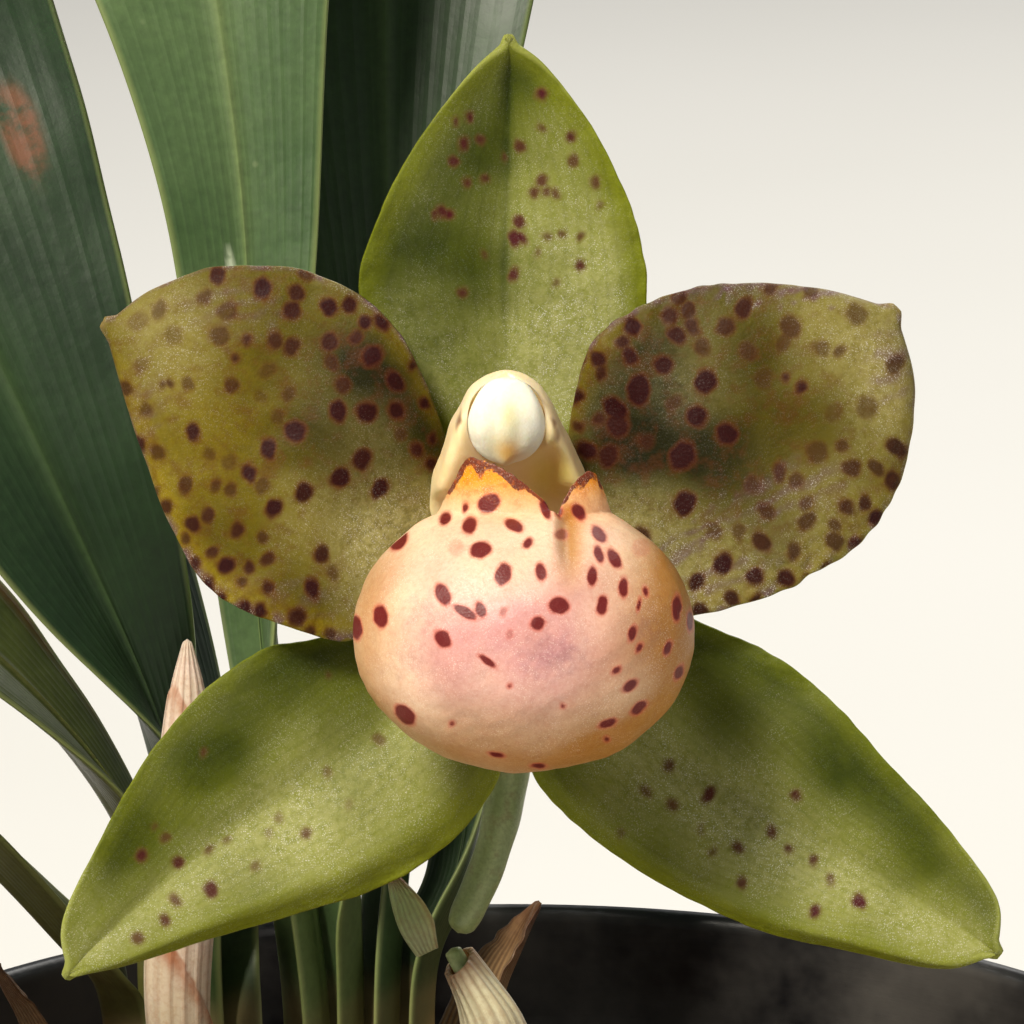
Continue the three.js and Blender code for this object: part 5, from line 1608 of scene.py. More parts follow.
@dataclass
class FlowerStalk:
    """Ovary, bract, scape and scape sheath behind and below the flower."""

    ovary_path: Sequence[Sequence[float]] = ((0, 0, -0.7), (0, -0.6, -2.9), (-0.1, -4, -5.4), (-0.1, -8.5, -6.6),
                                             (-0.2, -12.3, -7), (-1, -15.9, -7), (-2.5, -19.4, -7))
    ovary_radii: Stations = ((0, 1.6), (0.14, 1.5), (0.35, 1.45), (0.6, 1.1), (0.8, 0.85), (0.95, 0.8), (1, 0.55))
    node: tuple[float, float, float] = (-2.8, -20.1, -7.0)
    scape_radii: Stations = ((0, 0.95), (0.4, 0.75), (0.75, 0.5), (0.95, 0.45), (1, 0.4))
    sheath_radii: Stations = ((0, 1.35), (0.3, 1.72), (0.7, 1.4), (0.9, 1.05), (1, 0.85))
    sheath_span: tuple[float, float] = (0.5, 0.95)

    def scape_path(self) -> Path:
        """Middle line of the scape, from the crown over the rim to the node under the flower.

        Returns:
            The path in the object's frame.
        """
        points = [crown_point(-1.5, 3.5, -0.4), (-6.6, 3.4, 67.2), (-2.2, -4.2, 69.8), (-0.2, -8.3, 74.5),
                  (-0.7, -9.4, 80.0), in_flower(np.array(self.node))]
        return Path(points)

    def ovary(self) -> Grid:
        """Ribbed tube that thins into the flower's own stalk and bends to the node.

        Returns:
            The closed grid.
        """
        path = Path([in_flower(np.array(p, float)) for p in self.ovary_path])
        grid = tube(path, lambda t: station_value(self.ovary_radii, t), 150, 60, (1, 0, 0), cap=0.02)
        t, a = grid.marks["along"], grid.marks["round"]
        middle = path.at(t)
        rib = 0.5 + 0.5 * np.cos(6 * a + 1.2 * t)
        swell = 1 + 0.07 * (rib - 0.5) * smooth_step(0.75, 0.4, t) + 0.05 * ripple(middle, 3, 2)
        grid.swell(middle, swell)
        grid.marks |= {"tint": 0.3 + 0.5 * rib, "deep": 0.55 * smooth_step(0.45, 0.05, t)}
        return grid

    def sheath(self) -> Grid:
        """Loose tube round the scape: outer wall down and inner wall back, its mouth cut on a slant.

        Returns:
            The closed grid.
        """
        path = self.scape_path()
        rows, sides = 80, 72
        share = np.concatenate([np.linspace(0, 1, rows), np.linspace(1, 0, rows // 2)])
        wall = np.concatenate([np.zeros(rows), np.full(rows // 2, 0.22)])
        t, a = np.meshgrid(share, full_turn(sides), indexing="ij")
        place = self.sheath_span[0] + (self.sheath_span[1] - self.sheath_span[0]) * t
        lip = 0.035 * (0.5 + 0.5 * np.cos(a - 1.2)) * smooth_step(0.85, 1, t)
        tangent = path.heading(place + lip)
        side = unit(np.cross(np.array([0, 1.0, 0]), tangent))
        face = np.cross(tangent, side)
        radius = station_value(self.sheath_radii, t) - wall[:, None]
        middle = path.at(place + lip)
        pleat = (1 + 0.03 * np.cos(9 * a + 3 * t)
                 + 0.05 * ripple(np.stack([t * 9, np.cos(a) * 2, np.sin(a) * 2], -1), 4, 5))
        keep = station_value(self.scape_radii, place) + 0.06
        radius = np.maximum(radius * pleat, keep)
        low = smooth_step(0, 0.06, t)
        radius = keep + (radius - keep) * np.where(wall[:, None] > 0, low, np.sqrt(low) * 0.9 + 0.1)
        points = middle + side * (radius * np.cos(a))[..., None] + face * (radius * np.sin(a))[..., None]
        fibre = (0.5 + 0.5 * np.cos(18 * a + 1.5 * np.sin(5 * t))) ** 2
        stain = smooth_step(0.86, 1, t) * 0.8 + 0.4 * smooth_step(0.12, 0, t)
        grid = Grid(points, True, {"fibre": fibre, "stain": stain, "tint": 0.3 + 0.4 * smooth_step(0.2, 0.8, t)})
        grid.points = np.concatenate([grid.points, grid.points[:1]])
        grid.marks = {k: np.concatenate([m, m[:1]]) for k, m in grid.marks.items()}
        return grid

    def bract(self) -> Grid:
        """Small boat-shaped bract on the outer side of the node.

        Returns:
            The closed grid.
        """
        path = [in_flower(np.array(p)) for p in ((-4.15, -20.4, -6.6), (-4.9, -19.2, -6.3), (-5.3, -17.9, -6.1),
                                                 (-5.5, -16.6, -6.0))]
        lit = in_flower(np.array([0.8, 0.1, -0.4])) - FLOWER_CENTRE
        blade = Blade(path, (lit, lit), ((0, 1), (0.35, 1.7), (0.7, 1.4), (1, 0.3)), ((0, 0.75), (1, 0.45)))
        grid = lens(blade.surface, 70, 50, lambda u, v: 0.5 - 0.28 * v**2, 0.03)
        u, v = grid.marks["along"], grid.marks["across"]
        grid.marks |= {"fibre": np.cos(v * 20) ** 2, "tint": smooth_step(0.1, 0.6, u),
                       "stain": smooth_step(0.75, 1, u) * 0.9 + 0.5 * smooth_step(0.8, 1, np.abs(v))}
        return grid

    def build(self) -> None:
        """Builds the four pieces in place of their CAD nodes."""
        green = FleshFinish("stalk_green", (132, 148, 92), (170, 180, 126), (104, 122, 58), 0.35, 0.25, 0.35,
                            (136, 112, 76), 0.35)
        build_piece("ovary_stalk", [self.ovary()], green.build(), ["ovary"])
        scape = tube(self.scape_path(), lambda t: station_value(self.scape_radii, t), 170, 40, (0, 1, 0), cap=0.01)
        scape.marks |= {"tint": 0.4 + 0.3 * np.cos(3 * scape.marks["round"]),
                        "deep": 0.4 * smooth_step(0.4, 0, scape.marks["along"])}
        build_piece("scape_stalk", [scape], green.build(), ["scape"])
        silk = FibreFinish("sheath_silk", (214, 196, 176), (196, 190, 150), (138, 96, 66), 0.45, 0.3)
        build_piece("scape_sheath_husk", [self.sheath()], silk.build(), ["scape_sheath"])
        pale = FibreFinish("bract_tissue", (172, 180, 134), (150, 164, 104), (122, 82, 48), 0.35, 0.3)
        build_piece("floral_bract_blade", [self.bract()], pale.build(), ["floral_bract"])


# Plant
STEM_RADII = ((0, 2.2), (0.2, 3.2), (0.5, 3.3), (0.8, 3.2), (1, 2.2))
STEM_HALF_LENGTH = 10.5
STEM_FLATNESS = 0.6
STEM_DEPTH = 2.0
FIRST_STEP = 2.4
STEP = 1.95


def stem_top(along: float) -> float:
    """Height of the stem base's upper side over the crown, at a distance along the fan."""
    radius = station_value(STEM_RADII, np.array((along / STEM_HALF_LENGTH + 1) / 2))
    return float(STEM_FLATNESS * radius - STEM_DEPTH)


@dataclass
class Leaf:
    """One leaf of the fan: a folded stalk that opens into a long blade with a keel and parallel veins."""

    name: str
    rank: int
    step: int
    light: tuple[float, float, float]
    scale: float
    taper: float
    path: Sequence[tuple[float, float, float]]
    olive: bool = False
    scars: Sequence[tuple[float, float, float, float]] = ()
    brown_side: float = 0.0
    width: Stations = ((0, 2.3), (0.2, 2.3), (0.33, 2.9), (0.5, 5.2), (0.67, 8.8), (0.8, 10.3), (0.9, 7.8),
                       (0.97, 3.2), (1, 0.5))
    fold: Stations = ((0, 0.72), (0.25, 0.7), (0.45, 0.35), (0.7, 0.16), (1, 0.12))
    thickness: float = 0.8

    def blade(self) -> Blade:
        """The leaf's middle surface, from its seat on the stem base.

        Returns:
            The folded blade.
        """
        along = self.rank * (FIRST_STEP + STEP * (self.step - 1))
        points = [crown_point(along, 0, stem_top(along) + SEAT), crown_point(along, 0, 9), *self.path]
        width = [(u, w * (self.scale if u >= 0.3 else 1)) for u, w in self.width]
        seed = 10 * self.step + self.rank
        return Blade(points, (tuple(-self.rank * FAN_DIRECTION), self.light), width, self.fold, 0.22, self.taper,
                     seed, 0.35)

    def skin(self) -> Grid:
        """The closed leaf with marks for its veins, midrib, foot, scars and edge.

        Returns:
            The closed grid.
        """
        blade = self.blade()
        grid = lens(blade.surface, 190, 60, self._thickness, 0.01, self.light)
        u, v = grid.marks["along"], grid.marks["across"]
        half = station_value(blade.width, np.clip(u, 0, 1) ** self.taper)
        place = np.stack([u * 100, v * half], -1)
        grid.marks["vein"] = np.cos(np.pi * 9 * v + 0.15 * ripple(place, 30, 3)) ** 8 * smooth_step(0.15, 0.4, u)
        grid.marks["midrib"] = hump(v, 0, 0.05) + 0.35 * hump(v, 0, 0.16)
        grid.marks["foot"] = smooth_step(0.2, 0.04, u + 0.03 * ripple(place, 8, 5))
        scar = np.zeros_like(u)
        for middle, side, long, wide in self.scars:
            scar = np.maximum(scar, 1 - smooth_step(0.6, 1.2, np.hypot((u - middle) / long, (v - side) / wide)))
        if self.brown_side:
            scar = np.maximum(scar, 0.8 * smooth_step(0.72, 1.0, v * self.brown_side) * smooth_step(0.3, 0.5, u))
        grid.marks["stain"] = scar
        grid.marks["edge"] = (1 - np.abs(v)) * half
        return grid

    def _thickness(self, u: Array, v: Array) -> Array:
        """Full thickness, the same from foot to tip: most along the midrib, least at the margins."""
        return self.thickness * (0.85 + 0.5 * hump(v, 0, 0.07) - 0.4 * v**2)

    def build(self, material: bpy.types.Material) -> None:
        """Builds the leaf in place of its CAD node."""
        build_piece(f"{self.name}_blade", [self.skin()], material,
                    [self.name])


@dataclass
class Crown:
    """Stem base, papery sheaths, young shoot and roots: everything between the leaves and the bark."""

    sheath_place: float = 10.2
    roots: Sequence[Sequence[Sequence[float]]] = ()

    def stem(self) -> Grid:
        """Flat oval stem base across the fan, ringed with leaf scars.

        Returns:
            The closed grid.
        """
        ends = [crown_point(-STEM_HALF_LENGTH, 0, -STEM_DEPTH), crown_point(STEM_HALF_LENGTH, 0, -STEM_DEPTH)]
        path = Path([ends[0], (ends[0] + ends[1]) / 2, ends[1]])
        grid = tube(path, lambda t: station_value(STEM_RADII, t), 130, 64, (0, 0, 1), STEM_FLATNESS, 0.06)
        t, a = grid.marks["along"], grid.marks["round"]
        middle = path.at(t)
        ring = np.cos(t * 2 * np.pi * 11) ** 6
        swell = 0.97 - 0.04 * ring + 0.02 * ripple(grid.points, 3, 3)
        grid.swell(middle, swell)
        grid.marks |= {"tint": 0.5 + 0.2 * np.sin(a), "deep": 0.7 * ring}
        return grid

    def sheath(self, rank: int) -> Grid:
        """Papery sheath clasping the outermost leaf foot, browned towards its tip and edges.

        Args:
            rank: Side of the fan, 1 or -1.

        Returns:
            The closed grid.
        """
        heights = ((stem_top(self.sheath_place * rank) + SEAT, 0.0), (4.0, 0.9), (8.0, 2.2), (12.0, 4.0))
        points = [crown_point(rank * (self.sheath_place + out), 0, up) for up, out in heights]
        lit = tuple(-rank * FAN_DIRECTION)
        blade = Blade(points, (lit, lit), ((0, 2.6), (0.3, 3.2), (0.7, 2.2), (1, 0.3)), ((0, 0.7), (1, 0.5)),
                      seed=70 + rank, waver=0.25)
        grid = lens(blade.surface, 90, 50, lambda u, v: 0.4 - 0.22 * v**2, 0.03)
        u, v = grid.marks["along"], grid.marks["across"]
        grid.marks |= {"fibre": np.cos(v * 26 + 0.3 * ripple(grid.points, 4, 4)) ** 4, "tint": 1 - u,
                       "stain": smooth_step(0.6, 1, u) + 0.4 * smooth_step(0.85, 1, np.abs(v))}
        return grid

    def shoot(self) -> Grid:
        """Young shoot: a pale bud of overlapping scales whose edges wind round it.

        Returns:
            The closed grid.
        """
        path = Path([crown_point(4.4, 3.6, -0.6), (-16.2, 5.6, 75.0), (-15.7, 5.4, 85.0), (-15.6, 6.4, 94.3)])
        grid = tube(path, lambda t: station_value(((0, 0.9), (0.3, 1.6), (0.7, 1.55), (0.9, 0.95), (1, 0.2)), t),
                    150, 60, (0, 1, 0), 0.8, 0.01)
        t, a = grid.marks["along"], grid.marks["round"]
        wind = np.mod(t * 2.4 + 0.22 * np.cos(a - 0.6), 1)
        lap = smooth_step(0.0, 0.9, wind) * smooth_step(1.0, 0.97, wind)
        middle = path.at(t)
        swell = 0.93 + 0.09 * lap * smooth_step(0.02, 0.2, t)
        grid.swell(middle, swell)
        grid.marks |= {"fibre": (0.5 + 0.5 * np.cos(a * 14)) ** 3, "tint": 0.2 + 0.5 * smooth_step(0.6, 0.1, t),
                       "stain": smooth_step(0.86, 0.97, wind) * 0.9 * (1 - 0.4 * smooth_step(0.5, 1, t))}
        return grid

    def root(self, number: int, route: Sequence[Sequence[float]]) -> Grid:
        """Root: a knobbly tube from the stem base down into the bark.

        Args:
            number: Number of the root, which also seeds its knobs.
            route: Points that it passes through.

        Returns:
            The closed grid.
        """
        path = Path(route)
        grid = tube(path, lambda t: 1.06 - 0.1 * t, 120, 32, (0, 0, 1) if number else (0, 1, 0), cap=0.03)
        middle = path.at(grid.marks["along"])
        swell = 1 + 0.05 * ripple(grid.points, 2.5, number) + 0.03 * ripple(grid.points, 0.9, number + 9)
        grid.swell(middle, np.minimum(swell, 1.06))
        grid.marks["tint"] = (0.7 * smooth_step(0.3, 0, grid.marks["along"])
                              + 0.3 * smooth_step(0.6, 1, grid.marks["along"]))
        return grid

    def build(self) -> None:
        """Builds all its pieces in place of their CAD nodes."""
        green = FleshFinish("stem_green", (134, 134, 84), (158, 156, 104), (112, 78, 46), 0.3, 0.1, 0.4,
                            (112, 78, 50), 0.7)
        build_piece("stem_base_body", [self.stem()], green.build(), ["stem_base"])
        paper = FibreFinish("paper_husk", (158, 122, 82), (196, 168, 122), (92, 58, 34), 0.7, 0.1)
        for name, rank in (("sheath_left", 1), ("sheath_right", -1)):
            build_piece(f"{name}_husk", [self.sheath(rank)], paper.build(), [name])
        silk = FibreFinish("shoot_silk", (226, 204, 190), (188, 178, 124), (162, 92, 50), 0.3, 0.3)
        build_piece("young_shoot_bud", [self.shoot()], silk.build(), ["young_shoot"])
        skin = RootFinish().build()
        for number, route in enumerate(self.roots):
            build_piece(f"root_{number + 1}_skin", [self.root(number, route)], skin, [f"root_{number + 1}"])


@dataclass
class Pot:
    """Round plastic pot: tapering wall, stepped rim band and a thin floor with drain holes."""

    height: float = 70.0
    base_radius: float = 28.0
    wall: float = 1.4
    floor: float = 1.8
    holes: int = 8
    hole_radius: float = 3.0
    hole_circle: float = 20.0
    floor_reach: float = 25.3

    def _wall_at(self, z: float) -> float:
        """Outer radius of the tapering wall at a height."""
        return self.base_radius + 9.4 * z / 62

    def outline(self) -> Array:
        """Radius and height of the skin from the outer edge of the floor's underside round to its top edge.

        Returns:
            Rows of radius and height.
        """
        w = self._wall_at
        corners = np.array([(25.0, 0.0), (26.9, 0.0), (27.7, 0.3), (28.0, 1.0), (w(3), 3), (w(30), 30),
                            (w(61.2), 61.2), (w(61.9), 61.75), (38.3, 62.1), (38.55, 62.6), (38.75, 66),
                            (38.98, 69), (38.9, 69.6), (38.5, 70), (37.95, 70), (37.62, 69.6), (37.5, 68.5),
                            (37.1, 63.5), (w(61) - 1.45, 61), (w(30) - 1.4, 30), (w(4) - 1.4, 4),
                            (w(2.8) - 1.6, 2.8), (w(0) - 2.6, 2.0), (25.0, 1.8)])
        steps = np.array([max(2, int(np.hypot(*d) * 1.1) + 2) for d in np.diff(corners, axis=0)])
        runs = zip(corners, corners[1:], steps)
        pieces = [a + (b - a) * np.linspace(0, 1, n, endpoint=False)[:, None] for a, b, n in runs]
        return np.vstack([*pieces, corners[-1:]])

    def lathe(self) -> Grid:
        """The outline turned about the upright axis, with faint moulded flutes round the outside.

        Returns:
            The closed grid.
        """
        line = self.outline()
        sides = 240
        r, a = np.meshgrid(line[:, 0], full_turn(sides), indexing="ij")
        z = line[:, 1][:, None] * np.ones_like(r)
        outside = (smooth_step(0, 1, z) * (r > self.base_radius - 0.5) * smooth_step(62, 60, z)
                   * smooth_step(1.5, 5, z))
        inner = (np.arange(len(line)) > np.argmax(line[:, 1] + line[:, 0] * 0.001) + 3)[:, None] * np.ones_like(r)
        r = r - 0.12 * (0.5 + 0.5 * np.cos(48 * a)) ** 6 * outside * (1 - inner)
        points = np.stack([r * np.cos(a), r * np.sin(a), z], -1)
        worn = smooth_step(61, 62.5, z) * (1 - inner) + 0.6 * smooth_step(4, 1, z)
        dusty = 0.8 * smooth_step(8, 0, z) + 0.5 * hump(z, 61.5, 1.5) + 0.9 * inner + 0.25
        return Grid(points, True, {"worn": np.clip(worn, 0, 1), "dusty": np.clip(dusty, 0, 1)})

    def build(self) -> None:
        """Builds the pot's skin from the lathe and the two faces of its pierced floor, in place of the CAD node."""
        wall = self.lathe()
        floor = self.pierced_floor()
        build_piece("pot_shell", [wall, *floor], PotFinish().build(), ["pot"])

    def pierced_floor(self) -> list[Grid]:
        """One closed patch for each drain hole: underside out, sector edge up, top in and hole wall down.

        Returns:
            One closed grid for each hole.
        """
        patches = []
        width = np.pi / self.holes
        for k in range(self.holes):
            middle = (k + 0.5) * 2 * np.pi / self.holes
            turn = full_turn(96)
            hole = np.array([self.hole_circle, 0]) + self.hole_radius * np.stack([np.cos(turn), np.sin(turn)], -1)
            far = self._sector_edge(turn, width)
            share = np.concatenate([np.linspace(0, 1, 14), np.linspace(1, 0, 14)])
            z = np.concatenate([np.zeros(14), np.full(14, self.floor)])
            flat = hole + (far - hole) * share[:, None, None]
            flat = np.concatenate([flat, flat[:1]])
            z = np.concatenate([z, z[:1]])[:, None] * np.ones(len(turn))
            c, s = np.cos(middle), np.sin(middle)
            x, y = flat[..., 0] * c - flat[..., 1] * s, flat[..., 0] * s + flat[..., 1] * c
            patches.append(Grid(np.stack([x, y, z], -1), True, {"dusty": np.full(z.shape, 0.9), "worn": z * 0}))
        return patches

    def _sector_edge(self, turn: Array, width: float) -> Array:
        """Point of the sector's edge in each direction from the hole's middle: its sides, or the outer circle.

        Args:
            turn: Directions, as angles.
            width: Half the sector's angle.

        Returns:
            One point for each direction.
        """
        middle = np.array([self.hole_circle, 0.0])
        way = np.stack([np.cos(turn), np.sin(turn)], -1)
        b = middle[0] * way[:, 0]
        reach = -b + np.sqrt(b**2 + self.floor_reach**2 - middle[0] ** 2)
        for sign in (1, -1):
            side = np.array([-np.sin(sign * width), np.cos(sign * width)]) * sign
            pace = way @ side
            gap = -(middle @ side)
            reach = np.where(pace > 1e-6, np.minimum(reach, gap / np.maximum(pace, 1e-6)), reach)
        return middle + way * reach[:, None]


@dataclass
class BarkMix:
    """Orchid bark: a rough mound that fills the pot, with loose chips lying on it."""

    edge_height: float = 61.0
    crown_height: float = 64.5
    spread: float = 500.0
    top_radius: float = 35.6
    low_radius: float = 26.6
    underside: float = 2.2
    chips: int = 150
    reach: float = 33.5
    clear_along: float = 13.5
    clear_across: float = 5.5
    seed: int = 41

    def height(self, x: Array, y: Array) -> Array:
        """Height of the mound: the edge height plus a bell curve about the crown."""
        away = (x - CROWN[0]) ** 2 + (y - CROWN[1]) ** 2
        return self.edge_height + (self.crown_height - self.edge_height) * np.exp(-away / self.spread)

    def mound(self) -> Grid:
        """Crumbly top, side and flat underside of the mix, as one closed grid from middle to middle.

        Returns:
            The closed grid.
        """
        rows = 90
        r = np.concatenate([np.linspace(0, 1, rows), np.full(6, 1.0), np.linspace(1, 0, 12)])
        side = np.concatenate([np.zeros(rows), np.linspace(0.1, 1, 6), np.ones(12)])
        s, a = np.meshgrid(r, full_turn(180), indexing="ij")
        side = side[:, None] * np.ones_like(s)
        radius = self.top_radius + (self.low_radius - self.top_radius) * side
        x, y = s * radius * np.cos(a), s * radius * np.sin(a)
        place = np.stack([x, y], -1)
        crumb = 0.5 * np.abs(ripple(place, 5, 12)) + 0.35 * ripple(place, 2.2, 13) + 0.15 * ripple(place, 0.9, 14)
        top = self.height(x, y) - 0.9 + 0.8 * crumb
        z = top + (self.underside - top) * side
        tone = 0.28 + 0.25 * ripple(place, 6, 15)
        return Grid(np.stack([x, y, z], -1), True,
                    {"tone": np.clip(tone, 0, 1), "layer": 0.1 * ripple(place, 3, 16)})

    def chip(self, random: np.random.Generator, x: float, y: float) -> Grid:
        """One chip: a squarish solid, sin and cos taken to the power 0.55, roughened, bent and turned at random.

        Args:
            random: Source of the random draws.
            x: Place to the right.
            y: Place to the back.

        Returns:
            The closed grid.
        """
        size = np.array([random.uniform(2.6, 5.2), random.uniform(1.6, 3.0), random.uniform(0.7, 1.3)])
        p, a = np.meshgrid(np.linspace(0, np.pi, 16), full_turn(24), indexing="ij")

        def square(w: Array) -> Array:
            """Sign of the wave times its size to the power 0.55."""
            return np.sign(w) * np.abs(w) ** 0.55

        body = np.stack([square(np.sin(p)) * square(np.cos(a)), square(np.sin(p)) * square(np.sin(a)),
                         square(np.cos(p))], -1)
        seed = int(random.integers(1, 10**6))
        layer = body[..., 2].copy()
        points = body * size
        points = points + unit(body) * (0.28 * ripple(points, 3.4, seed)
                                        + 0.12 * ripple(points, 1.2, seed + 1))[..., None]
        points[..., 2] += 0.02 * points[..., 0] ** 2 * random.uniform(-1, 1.6)
        yaw, pitch, roll = random.uniform(0, np.pi), random.uniform(-0.35, 0.35), random.uniform(-0.3, 0.3)
        cy, sy, cp, sp, cr, sr = np.cos(yaw), np.sin(yaw), np.cos(pitch), np.sin(pitch), np.cos(roll), np.sin(roll)
        turn = (np.array([[cy, -sy, 0], [sy, cy, 0], [0, 0, 1]]) @ np.array([[cp, 0, sp], [0, 1, 0], [-sp, 0, cp]])
                @ np.array([[1, 0, 0], [0, cr, -sr], [0, sr, cr]]))
        points = points @ turn.T
        lift = random.uniform(-0.2, 0.8)
        points += np.array([x, y, float(self.height(np.array(x), np.array(y))) + lift])
        tone = np.full(layer.shape, random.uniform(0.15, 0.95))
        return Grid(points, True, {"tone": tone, "layer": layer})

    def build(self) -> None:
        """Lays the mound and the chips, clear of an oblong round the crown, in place of the CAD node."""
        random = np.random.default_rng(self.seed)
        grids = [self.mound()]
        across = np.array([FAN_FRONT[0], FAN_FRONT[1]])
        while len(grids) <= self.chips:
            radius, angle = self.reach * np.sqrt(random.uniform(0.01, 1)), random.uniform(0, 2 * np.pi)
            spot = np.array([radius * np.cos(angle), radius * np.sin(angle)])
            from_crown = spot - CROWN[:2]
            along = abs(from_crown @ FAN_DIRECTION[:2])
            if along < self.clear_along and abs(from_crown @ across) < self.clear_across:
                continue
            grids.append(self.chip(random, *spot))
        build_piece("bark_mix_chips", grids, BarkFinish().build(), ["bark_mix"])


# Studio
@dataclass
class Studio:
    """Plain pale floor, soft lights and the camera, which looks 15 degrees down at the flower."""

    lens_length: float = 211.3
    sensor: float = 36.0
    floor_side: float = 40.0

    def floor(self) -> None:
        """Pale matt floor under the pot."""
        s = Shader("studio_floor")
        cloud = s.noise(260, 3, 0.5)
        colour = s.mix(s.span(cloud, 0.3, 0.7), (222, 221, 217), (228, 227, 224))
        normal = s.relief(s.noise(1.5, 2, 0.5), 0.05, 0.2)
        half = self.floor_side / 2
        mesh = bpy.data.meshes.new("studio_floor")
        mesh.from_pydata([(-half, -half, 0), (half, -half, 0), (half, half, 0), (-half, half, 0)], [],
                         [(0, 1, 2, 3)])
        mesh.materials.append(s.finish(colour, normal, rough=0.85, gloss=0.2))
        floor = bpy.data.objects.new("studio_floor", mesh)
        bpy.context.scene.collection.objects.link(floor)

    def light(self, name: str, place: Sequence[float], size: float, power: float, colour: Colour) -> None:
        """Square soft light at a place in metres, aimed at the flower.

        Args:
            name: Name of the light.
            place: Where it stands.
            size: Side of its square in metres.
            power: Power in watts.
            colour: Its colour, 0 to 255.
        """
        lamp = bpy.data.lights.new(name, "AREA")
        lamp.size, lamp.energy, lamp.color = size, power, linear(colour)[:3]
        holder = bpy.data.objects.new(name, lamp)
        holder.location = place
        aim = Vector(FLOWER_CENTRE * MM) - Vector(place)
        holder.rotation_euler = aim.to_track_quat("-Z", "Y").to_euler()
        bpy.context.scene.collection.objects.link(holder)

    def camera(self) -> None:
        """Camera at the photograph's viewing angle, 270 mm from the flower, with a long lens."""
        view = bpy.data.cameras.new("view")
        view.lens, view.sensor_width, view.clip_start = self.lens_length, self.sensor, 0.01
        holder = bpy.data.objects.new("view", view)
        back = np.array([0.0, -np.cos(FLOWER_TILT), np.sin(FLOWER_TILT)]) * VIEW_DISTANCE
        holder.location = (FLOWER_CENTRE + back) * MM
        holder.rotation_euler = (np.pi / 2 - FLOWER_TILT, 0.0, 0.0)
        bpy.context.scene.collection.objects.link(holder)
        bpy.context.scene.camera = holder

    def build(self) -> None:
        """Sets up the floor, the world, three lights and the camera."""
        self.floor()
        world = bpy.data.worlds.new("studio")
        world.use_nodes = True
        world.node_tree.nodes["Background"].inputs["Color"].default_value = linear((232, 236, 242))
        world.node_tree.nodes["Background"].inputs["Strength"].default_value = 0.2
        bpy.context.scene.world = world
        bpy.context.scene.view_settings.view_transform = "Standard"
        self.light("key_light", (-0.3, -0.38, 0.68), 0.2, 8.8, (255, 248, 232))
        self.light("fill_light", (0.6, -0.55, 0.3), 0.6, 0.8, (255, 244, 230))
        self.light("back_light", (0.25, 0.6, 0.6), 0.4, 4.0, (255, 252, 246))
        self.camera()


